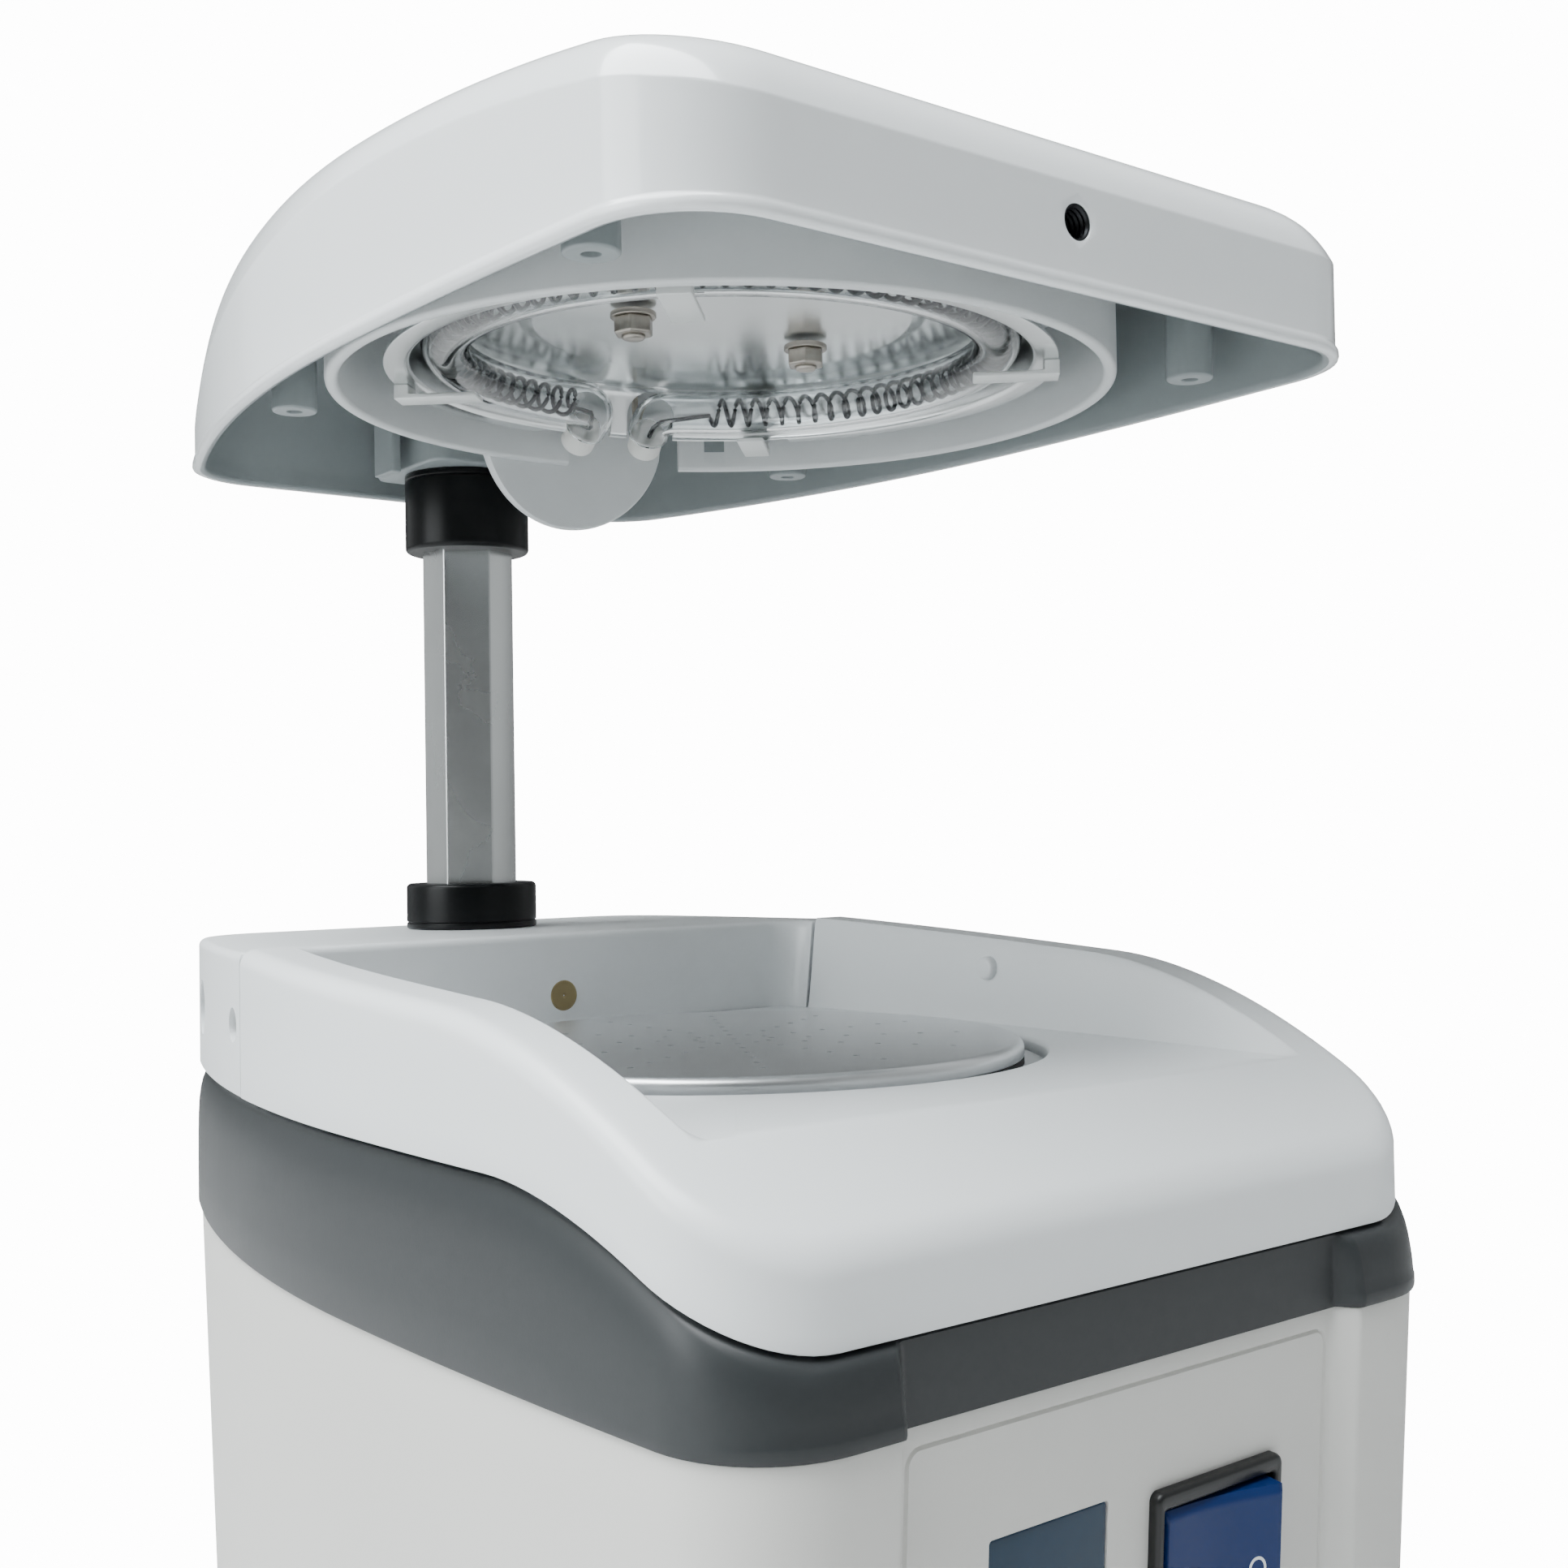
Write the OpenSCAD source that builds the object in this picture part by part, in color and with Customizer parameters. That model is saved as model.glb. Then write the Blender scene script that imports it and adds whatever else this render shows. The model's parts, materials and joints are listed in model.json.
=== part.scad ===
// Dental vacuum former: a heater head on a hexagonal column above a perforated forming plate.
// Millimetres, +Z up, origin on the floor under the middle of the base.

/* [Plan] */
// Greatest width of the base and of the head
body_w = 168; // [164:1:180]
// Distance from the middle of the base to the front of the belt
front_y = 121; // [120:1:126]
// Distance from the middle of the base to the rear faces
rear_y = 121; // [119:1:126]
// Place of the plate and heater axis along the depth
axis_y = -12; // [-15:1:-9]
// Place of the column axis along the depth
column_y = 96; // [95:1:98]
// Radius of the bowed sides in front of the axis
side_front_r = 1200; // [900:50:2000]
// Radius of the bowed sides behind the axis
side_rear_r = 425; // [400:5:520]
// Radius of the front corners
front_corner_r = 20; // [16:1:24]
// Radius of the rear corners
rear_corner_r = 16; // [13:1:20]
// Wall of the moulded covers
wall = 3; // [2.5:0.1:3.5]
// Gap where two still pieces meet
seat_gap = 0.3; // [0.2:0.05:0.4]

/* [Body] */
// Height of the feet
foot_h = 6; // [5:0.5:8]
// Radius of the feet
foot_r = 9; // [7:0.5:11]
// Place of the front feet from the front
foot_front = 26; // [24:1:32]
// Place of the rear feet from the rear
foot_rear = 26; // [24:1:32]
// Distance of the feet from the sides
foot_side = 24; // [20:1:28]
// Height of the top edge of the body shell
body_top = 113; // [110:1:116]
// Inset of the sides at the bottom of the body
body_draft = 4; // [3:0.5:5]
// Extra lean of the front at the bottom of the body
front_lean = 3.6; // [2.5:0.1:5]
// Depth of the recess between the front pilasters
recess_depth = 4; // [3:0.5:5]
// Half width of the recess between the front pilasters
recess_half = 52; // [50:0.5:56]
// Step between the belt and the body below it
belt_step = 0.8; // [0.5:0.1:1.5]
// Thickness of the bottom plate
plate_t = 2.5; // [2:0.5:3]
// Width of the engraved line round the front panel
engrave_w = 0.9; // [0.6:0.1:1.2]
// Depth of the engraved line
engrave_d = 0.5; // [0.3:0.1:0.8]

/* [Cover] */
// Height of the seam above the belt along the sides
seam_side = 144.5; // [142:0.5:146]
// Drop of the seam from the sides to the front
seam_drop = 18.8; // [16:0.2:20]
// Gap seen between the belt and the cover
seam_gap = 0.9; // [0.6:0.1:1.2]
// Height of the flat deck round the plate
deck_z = 152.2; // [151:0.2:153]
// Thickness of the deck
deck_t = 3; // [2.5:0.1:3.2]
// Distance of the front edge of the deck in front of the plate axis
ledge = 84; // [82:0.5:88]
// Distance of the cover front behind the belt front
cover_back = 3.3; // [2.5:0.1:4]
// Radius of the round recess in the deck
recess_r = 62; // [61.5:0.1:63]
// Height of the wings beside the rear wall of the well
wing_z = 175; // [174:0.5:176]
// Slope of the wing tops, fall per length
wing_slope = 0.057; // [0.04:0.001:0.07]
// Curved fall of the wing tops at the front
wing_fall = 25.7; // [24:0.1:27]
// Inset of the inner wing wall at its top
wing_top_w = 12; // [11:0.5:13]
// Inset of the inner wing wall at the deck
wing_foot_w = 15; // [14:0.5:16]
// Place of the rear wall of the well behind the plate axis
well_rear = 65; // [64:0.5:66]
// Place of the side seam between cover and rear block behind the plate axis
seam_y = 57; // [56:0.5:60]
// Height of the rear block
block_z = 173.2; // [172.5:0.1:174]
// Radius of the locating nubs on the wings
nub_r = 2.6; // [2:0.1:3]
// Height of the nubs above the deck
nub_z = 12; // [10:0.5:14]

/* [Vacuum] */
// Radius of the forming plate
plate_r = 57.5; // [56:0.5:59]
// Height of the plate top above the deck
plate_proud = 2.1; // [1.5:0.1:3]
// Thickness of the plate
plate_h = 3.4; // [3:0.1:4]
// Radius of the rounded rim of the plate
plate_edge = 2.2; // [1:0.1:2.6]
// Radius of the suction holes
hole_r = 0.7; // [0.5:0.05:0.9]
// Number of rows of suction holes
hole_rows = 12; // [8:1:16]
// Number of suction holes in one row
holes_in_row = 6; // [4:1:7]
// Distance between the holes of one row
hole_pitch = 7.6; // [6:0.1:8]
// Thickness of the plate seal
seal_t = 1.2; // [1:0.1:2]
// Inner radius of the plate seal
seal_in = 50; // [48:0.5:52]
// Depth of the vacuum cup below the deck
cup_depth = 15; // [12:0.5:17]
// Radius of the suction pipe under the cup
spigot_r = 21.6; // [19:0.2:24]
// Length of the suction pipe
spigot_l = 9; // [8:0.5:12]
// Radius of the fan housing
fan_r = 54; // [50:1:56]
// Height of the fan housing
fan_h = 26; // [24:0.5:28]
// Clearance round the impeller
fan_gap = 3.5; // [2.5:0.5:4]
// Radius of the motor can
can_r = 40; // [38:1:43]
// Length of the motor can
can_h = 46; // [42:1:50]
// Radius of the motor shaft
shaft_r = 4; // [3.5:0.1:4.5]
// Running clearance of the motor shaft
shaft_gap = 0.05; // [0.03:0.01:0.08]
// Outer radius of the motor bearings
bearing_r = 11; // [10:0.5:12]
// Width of the motor bearings
bearing_h = 7; // [6:0.5:8]

/* [Column] */
// Width of the hexagonal column across its flats
hex_af = 19; // [18:0.1:19.4]
// Clearance of the column in its guides
hex_gap = 0.06; // [0.03:0.01:0.09]
// Radius of the wire passage in the column
column_bore = 6; // [5:0.5:6.5]
// Height of the lower end of the column, head raised
column_low = 91; // [90.5:0.5:94]
// Height of the column top inside the head
column_high = 317; // [314:1:318]
// Radius of the lower collar
low_collar_r = 15.7; // [15:0.1:16.5]
// Height of the lower collar
low_collar_h = 11; // [10:0.5:12]
// Radius of the upper collar
up_collar_r = 15; // [14.5:0.1:16]
// Height of the upper collar
up_collar_h = 19; // [17:0.5:20]
// Gap left between the collars when the head is down
stop_gap = 0.5; // [0.3:0.1:1]
// Radius of the guide bush
bush_r = 15; // [14.5:0.1:16]
// Bore radius of the guide tube
guide_bore = 12.2; // [12:0.05:12.4]
// Height of the slider at the foot of the column
slider_h = 8; // [6:0.5:9]
// Radius of the brake bore
brake_r = 4.2; // [4:0.1:4.5]
// Depth of the brake below the top of the rear block
brake_down = 14.7; // [14:0.1:15]
// Radius of the access hole to the brake
brake_access = 6; // [5.5:0.1:6.2]

/* [Head] */
// Height of the head rim above the floor, head raised
rim_z = 281.2; // [280.6:0.1:282]
// Distance of the head front behind the belt front
head_back = 11.6; // [10:0.2:13]
// Height of the crown above the rim
crown_h = 48; // [46:0.5:50]
// Lower height of the crown at the front edge
crown_fall = 23; // [21:0.5:25]
// Roundness of the dome, higher is squarer
dome_n = 6; // [5:0.5:7]
// Radius of the screw bosses
boss_r = 4.6; // [4:0.1:5]
// Radius of the screw holes in the bosses
boss_hole_r = 1.6; // [1.3:0.1:1.8]
// Depth of the screw holes in the bosses
boss_hole_l = 12; // [10:1:14]
// Half distance of the front bosses
boss_front_x = 69.5; // [68:0.5:71]
// Half distance of the rear bosses
boss_rear_x = 64.5; // [63:0.5:66]
// Distance of the bosses in front of and behind the heater axis
boss_y = 61.5; // [60:0.5:63]
// Radius of the handle thread bore
handle_r = 2.5; // [2.4:0.1:2.7]
// Height of the handle hole above the rim
handle_up = 11.1; // [10:0.1:12]
// Length of the handle insert
handle_l = 9; // [8:0.5:11]
// Half width of the column socket block
socket_half = 17; // [16:0.5:18]

/* [Heater] */
// Gap between the round shroud and the widest place of the head
shroud_side = 6; // [5.6:0.1:7]
// Wall of the shroud
shroud_t = 2.6; // [2:0.1:3]
// Height of the shroud rim above the head rim
shroud_up = 1.8; // [1:0.1:2.5]
// Height of the shroud with its pan
shroud_h = 23.4; // [22.5:0.1:24]
// Drop of the tongue below the shroud rim
tongue_drop = 15; // [12:0.5:16]
// Half angle of the tongue
tongue_half = 17; // [14:0.5:19]
// Turn of the tube ends from the rear middle, to the right
gap_turn = 11; // [8:0.5:14]
// Width of the reflector flange
flange_w = 5; // [4:0.5:6]
// Distance of the dish wall outside the middle of the tube ring
dish_gap = 7; // [6.5:0.1:7.5]
// Height of the flange above the shroud rim
flange_up = 4.5; // [4:0.1:5.5]
// Thickness of the reflector sheet
sheet_t = 0.8; // [0.6:0.1:1]
// Distance of the flat centre disc inside the middle of the tube ring
disc_in = 19; // [18:0.5:20]
// Distance of the tube ring inside the outer face of the shroud
ring_in = 23; // [22:0.5:24]
// Outer radius of the quartz tube
tube_r = 4.8; // [4.6:0.1:5]
// Wall of the quartz tube
tube_t = 0.8; // [0.7:0.05:0.9]
// Height of the tube axis above the shroud rim
tube_up = 7.6; // [7.2:0.1:8]
// Half angle of the gap between the tube ends
tube_gap = 8; // [7:0.5:9]
// Radius of the coil, to the middle of the wire
coil_r = 2.9; // [2.6:0.05:2.95]
// Radius of the coil wire
wire_r = 0.55; // [0.45:0.05:0.6]
// Number of curls of the coil
curls = 79; // [70:1:80]
// Length of the straight tube ends
end_l = 9; // [8:0.5:10]

/* [Controls] */
// Left place of the display middle
display_x = -18.6; // [-20:0.2:-17]
// Height of the display top edge
display_top = 92.8; // [91:0.2:94]
// Width of the display window
display_w = 25.3; // [24:0.1:27]
// Height of the display window
display_h = 20; // [18:0.5:22]
// Place of the switch middle
switch_x = 19; // [18:0.5:21]
// Height of the switch middle
switch_z = 79; // [77:0.5:81]
// Width of the switch frame
switch_w = 31; // [30:0.5:32]
// Height of the switch frame
switch_h = 25.5; // [25:0.5:27]
// Thickness of the switch frame in front of the panel
switch_proud = 2; // [1.5:0.1:2.5]
// Width of the switch frame border
switch_border = 3; // [2.5:0.1:3.5]
// Tilt of the rocker to each side
rocker_tilt = 8; // [6:0.5:9]
// Height of the row of keys
key_z = 58; // [55:0.5:61]
// Distance between the keys
key_pitch = 12; // [11:0.5:13]
// Radius of a key
key_r = 4; // [3.5:0.1:4.3]
// Travel of a key
key_travel = 0.8; // [0.6:0.1:1]
// Height of a key above the panel
key_proud = 1.4; // [1.2:0.1:2]

/* [Rear] */
// Place of the power inlet
inlet_x = 30; // [28:0.5:34]
// Height of the power inlet
inlet_z = 36; // [34:1:40]
// Place of the exhaust grille
grille_x = -27; // [-28:0.5:-25]
// Height of the exhaust grille
grille_z = 52; // [48:1:56]
// Width of the exhaust grille
grille_w = 42; // [38:1:44]
// Height of the exhaust grille
grille_h = 40; // [36:2:44]

/* [Hidden] */

$fn = 64;
eps = 0.01;
side_steps = 10;
arc_steps = 6;

half_w = body_w / 2;
head_front = -front_y + head_back;
cover_front = -front_y + cover_back;
block_front = axis_y + seam_y;
well_back = axis_y + well_rear;
bush_top = block_z - wall;
bush_low = column_low + slider_h + seat_gap;
collar_top = block_z + low_collar_h;
block_under = rim_z + wall;
up_collar_low = block_under - up_collar_h;
stroke = up_collar_low - collar_top - stop_gap;
shroud_low = rim_z + shroud_up;
shroud_r = half_w - shroud_side;
ring_r = shroud_r - ring_in;
dish_r = ring_r + dish_gap;
flange_r = dish_r + flange_w;
disc_r = ring_r - disc_in;
pan_hole = disc_r - 6;
hanger_r = ring_r - 3;
pan_top = shroud_low + shroud_h;
pan_t = 2.4;
tube_z = shroud_low + tube_up;
disc_z = shroud_low + 15.5;
brake_z = block_z - brake_down;
cup_top = deck_z - deck_t;
cup_low = cup_top - cup_depth - spigot_l;
fan_top = cup_low + 1.5;
fan_low = fan_top - fan_h;
can_top = fan_low;
can_low = can_top - can_h;
panel_tilt = atan((body_draft - belt_step + front_lean) / (body_top - foot_h));
rear_tilt = atan((body_draft - belt_step) / (body_top - foot_h));
panel_front = -front_y + belt_step + recess_depth;
rear_face = rear_y - belt_step;

// Half width of the plan at depth y
function half_at(y) =
    let(d = y - axis_y)
    half_w - d * d / (2 * (d > 0 ? side_rear_r : side_front_r));

// Points of an arc
function arc(c, r, a0, a1, n) = [for (i = [0 : n])
    let(a = a0 + (a1 - a0) * i / n) [c[0] + r * cos(a), c[1] + r * sin(a)]];

// Closed plan with bowed sides and round corners, set in by e from front yf and rear yr
function outline(e, yf, yr, rf = front_corner_r, rr = rear_corner_r) =
    let(
        fr = max(rf, e + 2),
        br = max(rr, e + 2),
        fy = yf + fr,
        by = yr - br,
        slope = atan((by - axis_y) / side_rear_r),
        jy = by + br * sin(slope),
        fc = [half_at(fy) - fr, fy],
        bc = [half_at(jy) - br * cos(slope), by],
        side = [for (i = [1 : side_steps - 1])
            let(y = fy + (jy - fy) * i / side_steps) [half_at(y) - e, y]],
        right = concat(arc(fc, fr - e, -90, 0, arc_steps), side,
            arc(bc, br - e, slope, 90, arc_steps)),
        n = len(right)
    )
    concat(right, [for (i = [n - 1 : -1 : 0]) [-right[i][0], right[i][1]]]);

function lift(ring, z) = [for (p = ring) [p[0], p[1], z]];

// Solid between a stack of rings with equal counts, lowest ring first
module loft(rings) {
    n = len(rings[0]);
    m = len(rings);
    points = concat([for (r = rings) for (p = r) p],
        [middle(rings[0]), middle(rings[m - 1])]);
    sides = [for (k = [0 : m - 2]) for (i = [0 : n - 1])
        let(j = (i + 1) % n, a = k * n + i, b = k * n + j)
        each [[a, a + n, b + n], [a, b + n, b]]];
    bottom = [for (i = [0 : n - 1]) [i, (i + 1) % n, m * n]];
    top = [for (i = [0 : n - 1])
        [(m - 1) * n + (i + 1) % n, (m - 1) * n + i, m * n + 1]];
    polyhedron(points, concat(sides, bottom, top), convexity = 6);
}

function middle(ring) = [for (k = [0 : 2]) sum([for (p = ring) p[k]]) / len(ring)];
function sum(v, i = 0) = i < len(v) ? v[i] + sum(v, i + 1) : 0;

// Vertical walled block on a plan
module prism(plan, z0, z1) {
    translate([0, 0, z0]) linear_extrude(z1 - z0) polygon(plan);
}

// Everything below a side profile given as [y, z] points
module under(profile, low) {
    far = 2 * rear_y;
    pts = concat([[-far, low], [-far, profile[0][1]]], profile,
        [[far, profile[len(profile) - 1][1]], [far, low]]);
    rotate([90, 0, 90]) linear_extrude(2 * body_w, center = true) polygon(pts);
}

function ramp(t) = min(1, max(0, t));

// Height of the seam between belt and cover, which dips at the front
seam_from = axis_y - 48;
function seam_at(y) =
    seam_side - seam_drop * pow(ramp((seam_from - y) / (seam_from - cover_front)), 1.8);
seam_line = [for (i = [0 : 10])
    let(y = cover_front + (seam_from - cover_front) * i / 10) [y, seam_at(y)]];

// Height of the wing tops, which fall in a curve to the front
wing_from = axis_y - 30;
function wing_at(y) =
    wing_z - wing_slope * (axis_y + 75 - y)
    - wing_fall * pow(ramp((wing_from - y) / (wing_from - cover_front)), 1.9);
wing_line = concat(
    [for (i = [0 : 12])
        let(y = cover_front + (wing_from - cover_front) * i / 12) [y, wing_at(y)]],
    [[rear_y, wing_at(rear_y)]]);

function shift(line, dz) = [for (p = line) [p[0], p[1] + dz]];

// Frame on the leaning front panel, x across, z up, -y out of the panel
module on_panel(x, z) {
    y = panel_front + (body_top - z) * tan(panel_tilt);
    translate([x, y, z]) rotate([panel_tilt, 0, 0]) children();
}

// Frame on the leaning rear face, x across, z up, +y out of the face
module on_rear(x, z) {
    y = rear_face - (body_top - z) * tan(rear_tilt);
    translate([x, y, z]) rotate([-rear_tilt, 0, 0]) children();
}

module box_at(w, d, h, y0) {
    translate([-w / 2, y0, -h / 2]) cube([w, d, h]);
}

// Upright hexagon with its corners to the front and rear
module hex(af, z0, z1) {
    translate([0, column_y, z0]) rotate(90)
        cylinder(r = af / 2 / cos(30), h = z1 - z0, $fn = 6);
}

module ring(r_in, r_out, z0, z1) {
    translate([0, axis_y, z0]) difference() {
        cylinder(r = r_out, h = z1 - z0);
        translate([0, 0, -eps]) cylinder(r = r_in, h = z1 - z0 + 2 * eps);
    }
}

module mirror_x() {
    children();
    mirror([1, 0, 0]) children();
}

// Body shell: leaning walls, front recess, openings for the controls and the rear fittings
module body_shell() color("#e4e2da") difference() {
    loft([
        lift(outline(body_draft, -front_y + front_lean, rear_y), foot_h),
        lift(outline(belt_step, -front_y, rear_y), body_top)
    ]);
    loft([
        lift(outline(body_draft + wall, -front_y + front_lean + recess_depth, rear_y),
            foot_h - 1),
        lift(outline(belt_step + wall, -front_y + recess_depth, rear_y), body_top + 1)
    ]);
    on_panel(0, body_top / 2) translate([0, -2 * recess_depth, 0])
        box_at(2 * recess_half, 2 * recess_depth, 2 * body_top, 0);
    panel_line();
    on_panel(display_x, display_top - display_h / 2)
        box_at(display_w, 4 * wall, display_h, -wall);
    on_panel(switch_x, switch_z)
        box_at(switch_w - 2, 4 * wall, switch_h - 2, -wall);
    for (i = [-1 : 1]) on_panel(display_x + i * key_pitch, key_z)
        rotate([90, 0, 0]) cylinder(r = key_r + seat_gap, h = 8 * wall, center = true);
    on_rear(inlet_x, inlet_z) box_at(inlet_w + 0.8, 4 * wall, inlet_h + 0.8, -2 * wall);
    on_rear(inlet_x, inlet_z) for (s = [-1, 1])
        translate([0, 0, s * inlet_screw / 2]) rotate([90, 0, 0])
            cylinder(r = inlet_screw_r + 0.1, h = 4 * wall, center = true);
    on_rear(inlet_x, fuse_z) rotate([90, 0, 0])
        cylinder(r = fuse_r + 0.1, h = 4 * wall, center = true);
    on_rear(grille_x, grille_z) box_at(grille_w, 4 * wall, grille_h, -2 * wall);
}

// Engraved line of the front panel
panel_w = 96;
panel_low = 22;
module panel_line() {
    h = body_top - 3 - panel_low;
    on_panel(0, panel_low + h / 2) difference() {
        box_at(panel_w, 2 * engrave_d, h, -engrave_d);
        box_at(panel_w - 2 * engrave_w, 4 * engrave_d, h - 2 * engrave_w, -2 * engrave_d);
    }
}

// Grey belt with a lip that locates the cover
lip_in = 4;
lip_t = 2;
lip_h = 4;
lip_back = cover_back + wall + seat_gap - lip_in;
module belt() color("#55585c") difference() {
    union() {
        intersection() {
            prism(outline(0, -front_y, rear_y), body_top, seam_side);
            under(shift(seam_line, -seam_gap), 0);
        }
        intersection() {
            prism(outline(lip_in, -front_y + lip_back, rear_y), body_top, seam_side + lip_h);
            under(shift(seam_line, lip_h), 0);
        }
    }
    prism(outline(lip_in + lip_t, -front_y + lip_back, rear_y), body_top - 1, wing_z);
    translate([-recess_half, -front_y - 1, body_top - 1])
        cube([2 * recess_half, recess_depth + 1, seam_side]);
}

// Well in the cover, running on into the rear block: leaning inner walls above the deck
well_corner_r = 8;
module well(z0) {
    r = well_corner_r;
    low = outline(wing_foot_w, axis_y - ledge - wing_foot_w, well_back + wing_foot_w, 2,
        r + wing_foot_w);
    high = outline(wing_top_w, axis_y - ledge - wing_top_w, well_back + wing_top_w, 2,
        r + wing_top_w);
    loft([lift(low, z0), lift(high, wing_z + 4)]);
}

cover_in = 0.6;
wing_hollow = wing_top_w - 2.4;

// White cover with side wings, flat deck, front slope and round recess
module cover_tray() color("#eef0f1") difference() {
    union() {
        difference() {
            intersection() {
                prism(outline(cover_in, cover_front - cover_in, rear_y), body_top, wing_z + 2);
                under(wing_line, 0);
            }
            under(seam_line, -10);
            well(deck_z);
            intersection() {
                prism(outline(cover_in + wall, cover_front - cover_in, rear_y), 0, wing_z);
                under(shift(wing_line, -wall), -10);
                difference() {
                    translate([-body_w, -rear_y * 2, 0]) cube([2 * body_w, 4 * rear_y, wing_z]);
                    prism(outline(wing_hollow, axis_y - ledge - 40, 2 * rear_y), cup_top,
                        wing_z + 1);
                }
            }
            translate([-body_w, block_front, 0]) cube([2 * body_w, rear_y, wing_z + 10]);
        }
        translate([-deck_tail, block_front - 1, cup_top])
            cube([2 * deck_tail, well_back - block_front + 1 - seat_gap, deck_t]);
        mirror_x() translate([half_w - wing_foot_w - 1.5, axis_y, deck_z + nub_z])
            rotate([0, 90, 0]) cylinder(r = nub_r, h = 3.5);
    }
    translate([0, axis_y, cup_top - 1]) cylinder(r = recess_r, h = deck_t + 2);
}
deck_tail = 62;

// White rear block that carries the column guide
module rear_block() color("#e9ebec") difference() {
    intersection() {
        prism(outline(cover_in, cover_front, rear_y), seam_side, block_z);
        translate([-body_w, block_front + seat_gap, 0]) cube([2 * body_w, rear_y, 2 * wing_z]);
    }
    translate([-deck_tail - seat_gap, 0, 0])
        cube([2 * (deck_tail + seat_gap), well_back, 2 * wing_z]);
    intersection() {
        prism(outline(cover_in + wall, cover_front, rear_y), seam_side - 1, bush_top);
        translate([-body_w, well_back + wall, 0])
            cube([2 * body_w, rear_y, 2 * wing_z]);
    }
    prism(outline(cover_in + wall, cover_front, rear_y), seam_side - 1,
        max(cup_top, seam_side + lip_h) + seat_gap);
    hex(hex_af + 4 * hex_gap, bush_top - 1, block_z + 1);
    translate([-body_w, column_y, brake_z]) rotate([0, 90, 0])
        cylinder(r = brake_access, h = body_w - 20);
    translate([0, well_back - 1, stud_z]) rotate([-90, 0, 0]) cylinder(r = stud_r, h = 3);
    mirror_x() side_hole();
}
stud_r = 3.7;
stud_z = deck_z + 6.8;
side_hole_r = 3.5;
side_hole_x = half_at(well_back) - 5;
module side_hole() {
    translate([side_hole_x, well_back - 1, brake_z]) rotate([0, 90, 0])
        cylinder(r = side_hole_r, h = 20);
    translate([side_hole_x - 9, well_back - 1, brake_z]) rotate([0, 90, 0])
        cylinder(r = 1.6, h = 12);
}

// Screws that hold the rear block to the cover flanks
module side_screws() color("silver") mirror_x() {
    translate([side_hole_x, well_back - 1, brake_z]) rotate([0, 90, 0]) difference() {
        cylinder(r = side_hole_r - 0.4, h = 1.8);
        translate([0, 0, 0.8]) cylinder(r = 1.4, h = 2, $fn = 6);
    }
    translate([side_hole_x - 8, well_back - 1, brake_z]) rotate([0, 90, 0])
        cylinder(r = 1.6, h = 8);
}

module brass_stud() color("#b09a5a")
    translate([0, well_back - 0.2, stud_z]) rotate([-90, 0, 0]) cylinder(r = stud_r, h = 2.2);

// Bottom plate with holes for the foot screws
module at_feet() {
    for (s = [-1, 1]) {
        translate([s * (half_at(-front_y + foot_front) - foot_side), -front_y + foot_front, 0])
            children();
        translate([s * (half_at(rear_y - foot_rear) - foot_side), rear_y - foot_rear, 0])
            children();
    }
}
foot_screw_r = 2;
module base_plate() color("#8b8e90") difference() {
    prism(outline(body_draft + wall + seat_gap,
        -front_y + front_lean + recess_depth, rear_y), foot_h, foot_h + plate_t);
    at_feet() translate([0, 0, foot_h - 1]) cylinder(r = foot_screw_r, h = plate_t + 2);
}

module feet() color("#2b2c2e") at_feet() difference() {
    union() {
        cylinder(r1 = foot_r - 1, r2 = foot_r, h = 2);
        translate([0, 0, 2]) cylinder(r = foot_r, h = foot_h - 2);
    }
    translate([0, 0, -1]) cylinder(r = foot_screw_r + 2.2, h = 3.5);
    translate([0, 0, 2]) cylinder(r = foot_screw_r, h = foot_h);
}

module foot_screws() color("silver") at_feet() {
    translate([0, 0, 0.8]) cylinder(r = foot_screw_r + 1.8, h = 1.7);
    translate([0, 0, 2.5]) cylinder(r = foot_screw_r, h = foot_h + plate_t + 1 - 2.5);
}

// Perforated forming plate with a rounded rim
module forming_plate() color("#c9cbcd") translate([0, axis_y, 0]) difference() {
    rotate_extrude() difference() {
        union() {
            translate([0, plate_top - plate_h]) square([plate_r - plate_edge, plate_h]);
            translate([0, plate_top - plate_h]) square([plate_r, plate_h - plate_edge]);
            translate([plate_r - plate_edge, plate_top - plate_edge]) circle(plate_edge);
        }
        translate([-plate_r, plate_top - 3 * plate_h]) square([plate_r, 4 * plate_h]);
        translate([0, plate_top - 2 * plate_h]) square([2 * plate_r, plate_h]);
    }
    for (i = [0 : hole_rows - 1]) rotate(i * 360 / hole_rows)
        for (k = [1 : holes_in_row])
            translate([k * hole_pitch, 0, plate_top - plate_h - 1])
                cylinder(r = hole_r, h = plate_h + 2, $fn = 16);
    translate([0, 0, plate_top - plate_h - 1]) cylinder(r = hole_r, h = plate_h + 2, $fn = 16);
}
plate_top = deck_z + plate_proud;

module plate_seal() color("#3a3b3d")
    ring(seal_in, plate_r, plate_top - plate_h - seal_t, plate_top - plate_h);

// Cup that draws the air from under the plate into the fan
module vacuum_cup() color("#b8bcbf") translate([0, axis_y, 0]) rotate_extrude() polygon([
    [seal_in - 4, cup_seat], [seal_in - 4, cup_top - 2.6], [spigot_r - 1.8, cup_low + spigot_l],
    [spigot_r - 1.8, cup_low], [spigot_r, cup_low], [spigot_r, cup_low + spigot_l - 1],
    [seal_in - 2, cup_top - 4.4], [seal_in, cup_top - 2.6], [recess_r + 4, cup_top - 2.6],
    [recess_r + 4, cup_top], [recess_r - 1, cup_top], [recess_r - 1, cup_seat]
]);
cup_seat = plate_top - plate_h - seal_t;

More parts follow.
